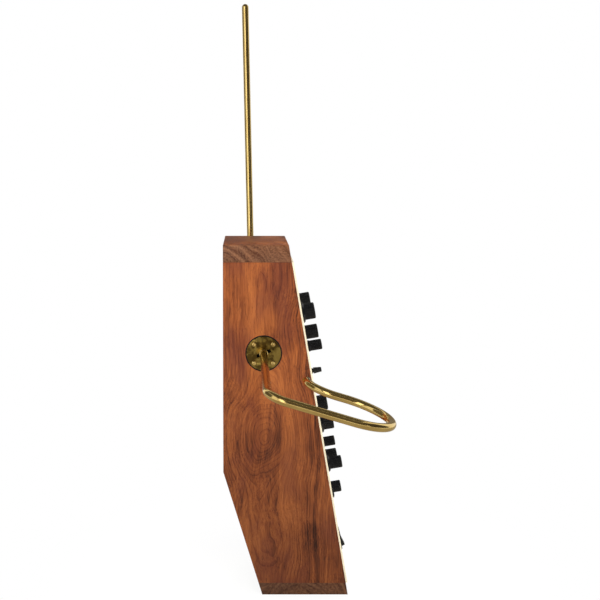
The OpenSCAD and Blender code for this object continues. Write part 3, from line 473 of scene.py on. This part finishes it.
EDGE_ROUNDS = {
    "left_side_board": 0.5, "right_side_board": 0.5, "top_board": 0.8, "bottom_board": 0.8,
    "back_board": 0.5, "front_panel": 0.4, "connector_plate": 0.3, "volume_socket_plate": 0.4,
    "pitch_socket_plate": 0.4, "jack_nuts": 0.25, "toggle_switch": 0.15, "rocker_frame": 0.3,
    "power_inlet": 0.2, "stand_flange": 0.3, "panel_screws": 0.12, "back_screws": 0.12,
    "connector_plate_screws": 0.12, "volume_plate_screws": 0.2, "pitch_plate_screws": 0.2,
    "volume_socket_bush": 0.2, "pitch_socket_bush": 0.2, "flange_screws": 0.12,
}
for node, round_mm in EDGE_ROUNDS.items():
    piece = softened(node, round_mm * MM)
    print(piece.name, len(piece.data.polygons), "faces")
softened("rocker_button", 0.35 * MM, "rocker", 3)

# %% [markdown]
# ## Turned pieces
# Knobs, the toggle's bat, collars and pins are turned shapes: an outline spun round an axis. The outline
# is a list of (radius, height) from the middle of the underside to the middle of the top.

# %% Spin an outline
def turned(outline, segments):
    """A closed mesh from an outline of (radius, height) that starts and ends on the axis."""
    work = bmesh.new()
    rings = []
    for radius, height in outline:
        if radius == 0:
            rings.append([work.verts.new((0, 0, height))])
            continue
        turn = [2 * math.pi * i / segments for i in range(segments)]
        rings.append([work.verts.new((radius * math.cos(t), radius * math.sin(t), height)) for t in turn])
    for low, high in zip(rings, rings[1:]):
        for i in range(segments):
            j = (i + 1) % segments
            corners = [low[i % len(low)], low[j % len(low)], high[j % len(high)], high[i % len(high)]]
            work.faces.new(list(dict.fromkeys(corners)))
    bmesh.ops.recalc_face_normals(work, faces=work.faces)
    mesh = bpy.data.meshes.new("turned")
    work.to_mesh(mesh)
    work.free()
    return mesh


def rounded(points, radius, steps=3):
    """The outline with each corner but its ends replaced by a small curve."""
    outline = [points[0]]
    for before, corner, after in zip(points, points[1:], points[2:]):
        corner = Vector(corner)
        toward, away = Vector(before) - corner, Vector(after) - corner
        reach = min(radius, toward.length / 2.2, away.length / 2.2)
        start, end = corner + toward.normalized() * reach, corner + away.normalized() * reach
        for i in range(steps + 1):
            t = i / steps
            outline.append(tuple((1 - t) ** 2 * start + 2 * t * (1 - t) * corner + t ** 2 * end))
    return outline + [points[-1]]


# %% [markdown]
# ## Places on the panel
# Every knob turns about a joint, and the joint says where the shaft comes through the panel and which
# way it points. That gives each knob its own frame: x across, y up the slope, z out of the panel.

# %% Panel frames from the joints
JOINTS = {joint["name"]: joint for joint in frame["joints"]}


def panel_frame(joint_name):
    """The matrix that stands a piece on the panel at a joint."""
    joint = JOINTS[joint_name]
    out = Vector(JOINTS["level_turn"]["axis"]).normalized()
    across = Vector((1, 0, 0))
    rows = Matrix((across, out.cross(across), out)).transposed()
    return Matrix.Translation(Vector(joint["pos_m"])) @ rows.to_4x4()


# %% [markdown]
# ## Knobs
# The grips are fluted so that fingers don't slip. The blank is turned first, and a Geometry Nodes tree
# then presses the flutes into it: each point moves inwards by a wave that runs round the knob, only
# between the skirt and the cap. One tree serves all ten knobs, with its sizes as inputs.

# %% The flute tree
def new_tree(name, inputs):
    """A Geometry Nodes tree with a geometry in and out and the named inputs."""
    tree = bpy.data.node_groups.new(name, "GeometryNodeTree")
    tree.interface.new_socket("Geometry", in_out="INPUT", socket_type="NodeSocketGeometry")
    tree.interface.new_socket("Geometry", in_out="OUTPUT", socket_type="NodeSocketGeometry")
    for label, kind in inputs.items():
        tree.interface.new_socket(label, in_out="INPUT", socket_type="NodeSocket" + kind)
    return tree, add_node(tree, "NodeGroupInput"), add_node(tree, "NodeGroupOutput")


def apply_tree(piece, tree, **values):
    """Puts the tree on the object with its inputs set by identifier, and returns the plain mesh."""
    modifier = piece.modifiers.new("tree", "NODES")
    modifier.node_group = tree
    for item in tree.interface.items_tree:
        label = item.name.replace(" ", "_")
        if item.in_out == "INPUT" and label in values:
            modifier[item.identifier] = values[label]
    return evaluated_mesh(piece)


flute_tree, flute_in, flute_out = new_tree("press_flutes", {
    "Flutes": "Int", "Depth": "Float", "Foot": "Float", "Top": "Float", "Reach": "Float",
    "Finish": "Material"})
point = add_node(flute_tree, "GeometryNodeInputPosition").outputs[0]
axes = add_node(flute_tree, "ShaderNodeSeparateXYZ", {0: point})
angle = maths(flute_tree, "ARCTAN2", axes.outputs[1], axes.outputs[0])
wave = maths(flute_tree, "COSINE", maths(flute_tree, "MULTIPLY", angle, flute_in.outputs["Flutes"]))
groove = maths(flute_tree, "POWER", maths(flute_tree, "MULTIPLY_ADD", wave, 0.5, 0.5), 1.6)
run_out = 1.2 * MM
above = threshold(flute_tree, axes.outputs[2], flute_in.outputs["Foot"],
                  maths(flute_tree, "ADD", flute_in.outputs["Foot"], run_out).outputs[0])
below = threshold(flute_tree, axes.outputs[2], flute_in.outputs["Top"],
                  maths(flute_tree, "SUBTRACT", flute_in.outputs["Top"], run_out).outputs[0])
flat_point = add_node(flute_tree, "ShaderNodeCombineXYZ", {0: axes.outputs[0], 1: axes.outputs[1]})
spoke = add_node(flute_tree, "ShaderNodeVectorMath", {0: flat_point}, operation="NORMALIZE")
reach = add_node(flute_tree, "ShaderNodeVectorMath", {0: flat_point}, operation="LENGTH").outputs["Value"]
outer = maths(flute_tree, "GREATER_THAN", reach, flute_in.outputs["Reach"])
amount = maths(flute_tree, "MULTIPLY", groove, maths(flute_tree, "MULTIPLY", above, below))
amount = maths(flute_tree, "MULTIPLY", maths(flute_tree, "MULTIPLY", amount, outer),
               maths(flute_tree, "MULTIPLY", flute_in.outputs["Depth"], -1))
offset = add_node(flute_tree, "ShaderNodeVectorMath", {0: spoke, "Scale": amount}, operation="SCALE")
pressed = add_node(flute_tree, "GeometryNodeSetPosition",
                   {"Geometry": flute_in.outputs["Geometry"], "Offset": offset})
real = add_node(flute_tree, "GeometryNodeRealizeInstances", {"Geometry": pressed})
add_finish = add_node(flute_tree, "GeometryNodeSetMaterial",
                      {"Geometry": real, "Material": flute_in.outputs["Finish"]})
flute_tree.links.new(add_finish.outputs[0], flute_out.inputs[0])

# %% Knob shapes
# grip diameter, skirt diameter and height of each kind of knob, in millimetres
LARGE, TALL, SMALL = (24, 32, 19.5), (22, 25, 23.5), (15.4, 17, 21.5)
SKIRTED, PLAIN = (18, 25, 22.2), (18, 18.8, 19)
KNOB_KINDS = dict(zip(KNOBS, [LARGE, LARGE, SMALL, TALL, LARGE, LARGE, SKIRTED, PLAIN, SMALL, PLAIN]))
KNOB_GAP, SKIRT_T, CAP_H = 1.0, 3.0, 1.0
BORE_R, HOLLOW_R, HOLLOW_TOP, CAP_T = 3.05, 6.04, 4.8, 3.05
FLUTES, FLUTE_DEPTH, FLUTE_STEPS = 20, 0.75, 12


def knob_blank(grip_d, skirt_d, height):
    """The outline of a knob, hollow over its nut, in metres."""
    grip, skirt = grip_d / 2, skirt_d / 2
    shoulder = (skirt + grip) / 2
    foot = KNOB_GAP + SKIRT_T
    points = [(0, height - CAP_T), (BORE_R, height - CAP_T), (BORE_R, HOLLOW_TOP), (HOLLOW_R, HOLLOW_TOP),
              (HOLLOW_R, KNOB_GAP), (skirt, KNOB_GAP), (skirt - 0.1, KNOB_GAP + 0.9),
              (shoulder, foot - 0.15), (grip, foot), (grip, foot + 0.8)]
    rise = height - CAP_H - foot - 1.6
    points += [(grip, foot + 0.8 + rise * i / 6) for i in range(1, 7)]
    points += [(grip, height - CAP_H), (grip - 1.0, height), (grip - 2.2, height),
               (grip - 2.8, height - 0.35), (0, height - 0.35)]
    return [(r * MM, z * MM) for r, z in rounded(points, 0.35)]


def make_knob(name):
    """Turns, flutes and places one knob with its pointer line."""
    grip_d, skirt_d, height = KNOB_KINDS[name]
    blank = bpy.data.objects.new("knob_work", turned(knob_blank(grip_d, skirt_d, height),
                                                     FLUTES * FLUTE_STEPS))
    scene.collection.objects.link(blank)
    mesh = apply_tree(blank, flute_tree, Flutes=FLUTES, Depth=FLUTE_DEPTH * MM,
                      Foot=(KNOB_GAP + SKIRT_T + 0.3) * MM, Top=(height - 0.7) * MM,
                      Reach=(grip_d / 2 - 1.6) * MM, Finish=knob_plastic)
    bpy.data.objects.remove(blank)
    place = panel_frame(name + "_turn")
    mesh.transform(place)
    shade_smooth(mesh, math.radians(50))
    knob = finish_mesh(name + "_grip", mesh, None, name, "knob_plastic", name + "_knob")
    line = bar(0.5, 1.5, grip_d / 2 - 1.2, height - 0.38, height - 0.02)
    line.transform(place)
    finish_mesh(name + "_pointer", line, pointer_paint, name, "knob_plastic")
    return knob


def bar(half_width, start, end, low, high):
    """A thin bar along y, in millimetres, as a metre mesh."""
    work = bmesh.new()
    bmesh.ops.create_cube(work, size=1)
    for vert in work.verts:
        vert.co = Vector((2 * half_width * vert.co.x, start + (vert.co.y + 0.5) * (end - start),
                          low + (vert.co.z + 0.5) * (high - low))) * MM
    mesh = bpy.data.meshes.new("bar")
    work.to_mesh(mesh)
    work.free()
    return mesh


for name in KNOBS:
    knob = make_knob(name)
print("ten knobs,", len(knob.data.polygons), "faces each")

# %% [markdown]
# ## The toggle's bat
# The bat is a small turned handle of black plastic on a ball. Its foot is hollow, so that it covers the
# neck of the switch and still clears it when it is thrown to either side.

# %% Turn the bat
BAT_FOOT_R, BAT_TIP_R, BAT_FOOT, BAT_TOP = 4.6, 3.5, 2.63, 14.5
BAT_HOLLOW_R, BAT_HOLLOW_TOP, BALL_R, STEM_R = 3.96, 4.39, 1.9, 1.1


def bat_outline():
    """From the ball up the stem, down inside the hollow foot, and up the outside to the round tip."""
    ball = [(BALL_R * math.sin(t), -BALL_R * math.cos(t))
            for t in (math.radians(a) for a in range(0, 141, 14))]
    shell = rounded([(STEM_R, 1.6), (STEM_R, BAT_HOLLOW_TOP), (BAT_HOLLOW_R, BAT_HOLLOW_TOP),
                     (BAT_HOLLOW_R, BAT_FOOT), (BAT_FOOT_R, BAT_FOOT), (BAT_TIP_R, BAT_TOP)], 0.2)[:-1]
    tip = rounded([(BAT_TIP_R + 0.17, BAT_TOP - 2.2), (BAT_TIP_R, BAT_TOP), (0, BAT_TOP)], 2.0, 8)
    return [(r * MM, z * MM) for r, z in ball + shell + tip]


bat = turned(bat_outline(), 64)
bat.transform(panel_frame("toggle_throw"))
shade_smooth(bat, math.radians(45))
finish_mesh("toggle_bat", bat, switch_plastic, "toggle", "switch_plastic", "toggle_lever")
print("the bat has", len(bat.polygons), "faces")

# %% [markdown]
# ## Printed dials
# The cream panel is screen printed in dark brown: a ring of strokes round each knob, with plain numbers
# from 0 to 10, and a stroke and a ring at the ends of the power rocker. A Geometry Nodes tree lays the
# strokes along an arc. The numbers are text, given the thickness of a coat of ink.

# %% The tree for a ring of strokes
dial_tree, dial_in, dial_out = new_tree("dial_strokes", {
    "Count": "Int", "Radius": "Float", "Length": "Float", "Width": "Float", "Ink": "Float",
    "Finish": "Material"})
DIAL_START, DIAL_SWEEP = math.radians(-60), math.radians(300)
dial_arc = add_node(dial_tree, "GeometryNodeCurveArc", {
    "Resolution": dial_in.outputs["Count"], "Radius": dial_in.outputs["Radius"],
    "Start Angle": DIAL_START, "Sweep Angle": DIAL_SWEEP})
stroke_size = add_node(dial_tree, "ShaderNodeCombineXYZ", {
    0: dial_in.outputs["Length"], 1: dial_in.outputs["Width"], 2: dial_in.outputs["Ink"]})
stroke = add_node(dial_tree, "GeometryNodeMeshCube", {"Size": stroke_size})
stroke_place = add_node(dial_tree, "ShaderNodeSeparateXYZ",
                        {0: add_node(dial_tree, "GeometryNodeInputPosition")})
stroke_turn = maths(dial_tree, "ARCTAN2", stroke_place.outputs[1], stroke_place.outputs[0])
strokes = add_node(dial_tree, "GeometryNodeInstanceOnPoints", {
    "Points": add_node(dial_tree, "GeometryNodeCurveToPoints",
                       {"Curve": dial_arc, "Count": dial_in.outputs["Count"]}),
    "Instance": stroke, "Rotation": add_node(dial_tree, "ShaderNodeCombineXYZ", {2: stroke_turn})})
strokes = add_node(dial_tree, "GeometryNodeSetMaterial",
                   {"Geometry": add_node(dial_tree, "GeometryNodeRealizeInstances", {0: strokes}),
                    "Material": dial_in.outputs["Finish"]})
dial_tree.links.new(strokes.outputs[0], dial_out.inputs[0])

# %% Print the panel
INK = 0.06 * MM
DIAL_STEPS = 11
DIGIT_SIZE = 3.3 * MM
STROKE_L, STROKE_W = 1.6 * MM, 0.45 * MM


def figure(text, size, x, y):
    """A number or sign as a thin solid mesh at x, y on the panel."""
    words = bpy.data.curves.new("figure", "FONT")
    words.body, words.size, words.extrude = text, size, INK / 2
    words.align_x, words.align_y = "CENTER", "CENTER"
    piece = bpy.data.objects.new("figure_work", words)
    scene.collection.objects.link(piece)
    mesh = evaluated_mesh(piece)
    bpy.data.objects.remove(piece)
    mesh.transform(Matrix.Translation((x, y, 0)))
    return mesh


def dial(name):
    """The strokes and numbers round one knob."""
    grip_d, skirt_d, height = KNOB_KINDS[name]
    large = skirt_d > TALL[1]
    inner = (skirt_d / 2 + (1.0 if large else 1.6)) * MM
    work = bpy.data.objects.new("dial_work", bpy.data.meshes.new("dial"))
    scene.collection.objects.link(work)
    meshes = [apply_tree(work, dial_tree, Count=DIAL_STEPS, Radius=inner + STROKE_L / 2,
                         Length=STROKE_L, Width=STROKE_W, Ink=INK, Finish=panel_print)]
    bpy.data.objects.remove(work)
    for number in range(0, DIAL_STEPS, 1 if large else 5):
        turn = math.radians(240 - 30 * number)
        reach = inner + STROKE_L + (1.9 if large else 2.4) * MM
        meshes.append(figure(str(number), DIGIT_SIZE, reach * math.cos(turn), reach * math.sin(turn)))
    print_mesh(name + "_dial", meshes, name + "_turn", 0)


def joined(meshes, name):
    """One mesh from several, with doubles merged and faces turned outwards."""
    work = bmesh.new()
    for mesh in meshes:
        work.from_mesh(mesh)
    bmesh.ops.remove_doubles(work, verts=work.verts, dist=0.0005 * MM)
    bmesh.ops.recalc_face_normals(work, faces=work.faces)
    result = bpy.data.meshes.new(name)
    work.to_mesh(result)
    work.free()
    return result


def print_mesh(name, meshes, joint_name, sunk):
    """Welds printed meshes into one and lays them on the panel, sunk metres below the joint's place."""
    mesh = joined(meshes, name)
    mesh.transform(panel_frame(joint_name) @ Matrix.Translation((0, 0, INK / 2 - sunk)))
    return finish_mesh(name, mesh, panel_print, "cabinet", "cream_paint")


for name in KNOBS:
    dial(name)
ROCKER_PIVOT, MARK_REACH = -2 * MM, 19 * MM
rocker_marks = [figure("I", DIGIT_SIZE, 0, MARK_REACH), figure("O", DIGIT_SIZE, 0, -MARK_REACH)]
print_mesh("rocker_marks", rocker_marks, "rocker_tilt", ROCKER_PIVOT)
print("printed", len(KNOBS), "dials")

# %% [markdown]
# ## Antennas
# Each antenna is one brass rod bent cold round formers, so its middle line is straight runs and arcs.
# The line is laid out flat, as on the bench, then turned to where it sits. A Geometry Nodes tree sweeps
# a circle along it. The last few points draw the circle in, which rounds the cut end as a file would.

# %% The sweep tree
sweep_tree, sweep_in, sweep_out = new_tree("sweep_rod", {
    "Radius": "Float", "Sides": "Int", "Finish": "Material"})
line = add_node(sweep_tree, "GeometryNodeMeshToCurve", {0: sweep_in.outputs["Geometry"]})
share = add_node(sweep_tree, "GeometryNodeInputNamedAttribute", {"Name": "thickness"}, data_type="FLOAT")
line = add_node(sweep_tree, "GeometryNodeSetCurveRadius", {"Curve": line, "Radius": share.outputs[0]})
ring = add_node(sweep_tree, "GeometryNodeCurvePrimitiveCircle",
                {"Resolution": sweep_in.outputs["Sides"], "Radius": sweep_in.outputs["Radius"]})
tube = add_node(sweep_tree, "GeometryNodeCurveToMesh", {"Curve": line, "Profile Curve": ring,
                                                        "Fill Caps": True})
if "Scale" in tube.inputs:
    sweep_tree.links.new(share.outputs[0], tube.inputs["Scale"])
tube = add_node(sweep_tree, "GeometryNodeSetMaterial",
                {"Geometry": add_node(sweep_tree, "GeometryNodeRealizeInstances", {0: tube}),
                 "Material": sweep_in.outputs["Finish"]})
sweep_tree.links.new(tube.outputs[0], sweep_out.inputs[0])


# %% Lay out the rods
def arc(centre, radius, start, end, steps=24):
    """Points along an arc, angles in degrees."""
    turns = [math.radians(start + (end - start) * i / steps) for i in range(steps + 1)]
    return [(centre[0] + radius * math.cos(t), centre[1] + radius * math.sin(t)) for t in turns]


def with_round_end(points, radius, steps=8):
    """The middle line and its thickness at each point, with the last end rounded off."""
    end, before = Vector(points[-1]), Vector(points[-2])
    direction = (end - before).normalized()
    line = [(Vector(p), 1.0) for p in points]
    for i in range(1, steps + 1):
        t = math.radians(90 * i / steps)
        line.append((end + direction * radius * math.sin(t), max(math.cos(t), 0.02)))
    return line


def swept_rod(line, radius, place, sides=48):
    """Sweeps a rod along a flat middle line and puts it in place."""
    mesh = bpy.data.meshes.new("rod_line")
    mesh.from_pydata([(p.x, p.y, 0) for p, share in line], [(i, i + 1) for i in range(len(line) - 1)], [])
    thickness = mesh.attributes.new("thickness", "FLOAT", "POINT")
    thickness.data.foreach_set("value", [share for p, share in line])
    work = bpy.data.objects.new("rod_work", mesh)
    scene.collection.objects.link(work)
    swept = apply_tree(work, sweep_tree, Radius=radius, Sides=sides, Finish=antenna_brass)
    bpy.data.objects.remove(work)
    swept.transform(place)
    return swept


ROD_R = 5.5 * MM
ROD_INSET = 23.5 * MM
LOOP_TIP_R, LOOP_HOOK_R, LOOP_BEND_R, LOOP_RETURN = 54.5 * MM, 40 * MM, 28 * MM, 11 * MM
PITCH_BEND_R = 25 * MM
loop_root = Vector(JOINTS["volume_antenna_swivel"]["pos_m"])
pitch_root = Vector(JOINTS["pitch_antenna_swivel"]["pos_m"])
loop_low = Vector(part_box("volume_antenna")[0])
pitch_high = Vector(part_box("pitch_antenna")[1])

# the loop's reach, how far its tip stands forward and its droop, read from its box
loop_reach = loop_root.x - loop_low.x - ROD_R
tip = Vector((loop_root.y - loop_low.y - ROD_R, loop_root.z - loop_low.z - ROD_R))
loop_droop = math.atan2(tip.y, tip.x)
loop_forward = tip.length - LOOP_TIP_R
return_y = loop_reach - 2 * LOOP_TIP_R
hook_x = loop_forward - LOOP_RETURN
loop_line = [(0, -ROD_INSET), (0, 0)]
loop_line += arc((LOOP_BEND_R, loop_reach - LOOP_BEND_R), LOOP_BEND_R, 180, 90, 20)
loop_line += arc((loop_forward, loop_reach - LOOP_TIP_R), LOOP_TIP_R, 90, -90, 48)
loop_line += arc((hook_x, return_y - LOOP_HOOK_R), LOOP_HOOK_R, 90, 180, 20)
loop_place = (Matrix.Translation(loop_root) @ Matrix.Rotation(loop_droop, 4, "X")
              @ Matrix(((0, -1, 0, 0), (-1, 0, 0, 0), (0, 0, -1, 0), (0, 0, 0, 1))))
loop_mesh = swept_rod(with_round_end(loop_line, ROD_R), ROD_R, loop_place)

# the pitch rod's reach, height and lean
pitch_reach = pitch_high.x - ROD_R - pitch_root.x
pitch_tip = Vector((pitch_high.y - ROD_R - pitch_root.y, pitch_high.z - ROD_R - pitch_root.z))
pitch_lean = math.atan2(pitch_tip.x, pitch_tip.y)
pitch_line = [(0, -ROD_INSET), (0, 0)]
pitch_line += arc((PITCH_BEND_R, pitch_reach - PITCH_BEND_R), PITCH_BEND_R, 180, 90, 16)
pitch_line += [(pitch_tip.length, pitch_reach)]
pitch_place = (Matrix.Translation(pitch_root) @ Matrix.Rotation(-pitch_lean, 4, "X")
               @ Matrix(((0, 1, 0, 0), (0, 0, 1, 0), (1, 0, 0, 0), (0, 0, 0, 1))))
pitch_mesh = swept_rod(with_round_end(pitch_line, ROD_R), ROD_R, pitch_place)
print(f"loop reach {loop_reach:.3f}, droop {math.degrees(loop_droop):.1f}; "
      f"pitch rod {pitch_tip.length:.3f} high, lean {math.degrees(pitch_lean):.2f}")

# %% Collars and cross pins
COLLAR = [(0, 0.3), (6.0, 0.3), (6.4, 0.55), (6.4, 1.35), (6.0, 1.7), (0, 1.7)]
PIN_R, PIN_L, PIN_DEPTH = 2 * MM, 20.6 * MM, 5.5 * MM


def rod_with_root(name, swept, place, pin_turn):
    """Adds the collar that hides the socket's hole and the cross pin of the bayonet."""
    out = Matrix.Rotation(math.radians(-90), 4, "X")
    collar = turned([(r * MM, z * MM) for r, z in COLLAR], 64)
    collar.transform(place @ out)
    pin = turned([(0, -PIN_L / 2), (PIN_R, -PIN_L / 2), (PIN_R, PIN_L / 2), (0, PIN_L / 2)], 24)
    pin.transform(place @ out @ Matrix.Rotation(math.radians(pin_turn), 4, "Z")
                  @ Matrix.Translation((0, 0, -PIN_DEPTH)) @ Matrix.Rotation(math.radians(90), 4, "X"))
    mesh = joined([swept, collar, pin], name)
    shade_smooth(mesh, math.radians(40))
    return finish_mesh(name + "_rod", mesh, antenna_brass, name, "antenna_brass", name)


SLOT_ANGLE = 23
rod_with_root("volume_antenna", loop_mesh, loop_place, math.degrees(loop_droop) + SLOT_ANGLE)
rod_with_root("pitch_antenna", pitch_mesh, pitch_place, math.degrees(pitch_lean) + 90 - SLOT_ANGLE)

# %% [markdown]
# ## Lights and floor
# The photograph has soft, even light on a white ground. Large area lamps give that, at a level where a
# colour comes out about as it is written. They are kept out of reflections: what polished brass shows
# is a pale box, dark screens and a dim ground, which only mirror-like rays see. Behind these, the floor
# and the world are white for the camera and for reflections, and the floor keeps a faint shadow.

# %% World and floor
def ray_is_seen(tree):
    """1 for camera, glossy and transmission rays, and 0 for light that falls on the object."""
    path = add_node(tree, "ShaderNodeLightPath")
    seen = maths(tree, "MAXIMUM", path.outputs["Is Camera Ray"], path.outputs["Is Glossy Ray"])
    return maths(tree, "MAXIMUM", seen, path.outputs["Is Transmission Ray"])


AMBIENT = 0.45
FLOOR_GLOW = 0.90
SHADOW_SPREAD = (0.15, 0.42)
world = bpy.data.worlds.new("white_ground")
scene.world = world
world.use_nodes = True
sky = world.node_tree
level = maths(sky, "MULTIPLY_ADD", ray_is_seen(sky), 1 - AMBIENT, AMBIENT)
sky.links.new(level.outputs[0], sky.nodes["Background"].inputs["Strength"])
sky.nodes["Background"].inputs["Color"].default_value = (1, 1, 1, 1)


def stage_panel(name, size, place, target, material):
    """A flat panel of size metres that faces target."""
    mesh = bpy.data.meshes.new(name)
    half = (size[0] / 2, size[1] / 2)
    mesh.from_pydata([(-half[0], -half[1], 0), (half[0], -half[1], 0), (half[0], half[1], 0),
                      (-half[0], half[1], 0)], [], [(0, 1, 2, 3)])
    panel = bpy.data.objects.new(name, mesh)
    scene.collection.objects.link(panel)
    mesh.materials.append(material)
    panel.location = place
    panel.rotation_euler = (Vector(target) - Vector(place)).to_track_quat("Z", "Y").to_euler()
    return panel


floor_finish, floor_tree, floor_shader, floor_place = new_finish("floor_white", Roughness=0.9)
floor_shader.inputs["Base Color"].default_value = (0.82, 0.82, 0.82, 1)
floor_shader.inputs["Specular IOR Level"].default_value = 0.1
glow = add_node(floor_tree, "ShaderNodeEmission", {"Color": (1, 1, 1, 1), "Strength": 1.0})
spread = add_node(floor_tree, "ShaderNodeVectorMath", {0: floor_place}, operation="LENGTH").outputs["Value"]
far = threshold(floor_tree, spread, *SHADOW_SPREAD)
share = maths(floor_tree, "MULTIPLY_ADD", far, 1 - FLOOR_GLOW, FLOOR_GLOW)
share = maths(floor_tree, "MULTIPLY", ray_is_seen(floor_tree), share)
mixed = add_node(floor_tree, "ShaderNodeMixShader", {0: share, 1: floor_shader, 2: glow})
floor_tree.links.new(mixed.outputs[0], floor_tree.nodes["Material Output"].inputs["Surface"])
floor = stage_panel("floor", (14, 14), (0, 0, -0.0002), (0, 0, 1), floor_finish)

# %% Lamps, pale box and screens
def lamp(name, place, target, size, power):
    """A square area lamp that lights the object and stays out of its reflections."""
    data = bpy.data.lights.new(name, "AREA")
    data.size, data.energy = size, power
    item = bpy.data.objects.new(name, data)
    scene.collection.objects.link(item)
    item.location = place
    item.rotation_euler = (Vector(target) - Vector(place)).to_track_quat("-Z", "Y").to_euler()
    item.visible_glossy = False
    return item


def glossy_only(name, size, place, target, level, colour=(1, 1, 1)):
    """A panel that only reflections see, at the given brightness."""
    material = bpy.data.materials.new(name)
    material.use_nodes = True
    tree = material.node_tree
    tree.nodes.clear()
    glow = add_node(tree, "ShaderNodeEmission", {"Color": (*colour, 1), "Strength": level})
    tree.links.new(glow.outputs[0], add_node(tree, "ShaderNodeOutputMaterial").inputs[0])
    panel = stage_panel(name, size, place, target, material)
    panel.visible_camera = panel.visible_diffuse = panel.visible_shadow = False
    panel.visible_transmission = False
    return panel


MIDDLE = (0.0, 0.0, 0.35)
lamp("lamp_left", (-2.0, -0.6, 1.9), MIDDLE, 1.6, 62)
lamp("lamp_front", (-0.8, -2.2, 1.4), MIDDLE, 1.4, 36)
lamp("lamp_back", (0.6, 2.2, 1.8), MIDDLE, 1.6, 38)
lamp("lamp_right", (2.2, -0.2, 1.6), MIDDLE, 1.4, 36)
glossy_only("pale_box", (0.9, 2.2), (-2.2, 1.0, 0.9), MIDDLE, 2.2)
glossy_only("dark_front", (3.4, 3.2), (-0.7, -2.6, 1.2), (0.1, 0, 0.7), 0.07, (1.0, 0.9, 0.8))
glossy_only("dark_back", (2.4, 3.0), (0.4, 2.4, 1.2), (0.1, 0, 0.7), 0.12, (1.0, 0.95, 0.85))
glossy_only("dark_camera_side", (5.2, 4.4), (-3.0, 0.0, 1.2), MIDDLE, 0.11, (1.0, 0.88, 0.72))
glossy_only("dark_far_side", (4.6, 3.4), (3.4, 0.0, 1.3), MIDDLE, 0.22, (1.0, 0.92, 0.78))
glossy_only("dim_ground", (3.0, 3.0), (0.0, 0.0, 0.0004), (0.0, 0.0, 1.0), 0.42, (1.0, 0.92, 0.78))
glossy_only("dark_above", (3.6, 3.6), (0.0, 0.0, 2.6), (0.0, 0.01, 0.35), 0.10, (1.0, 0.95, 0.85))
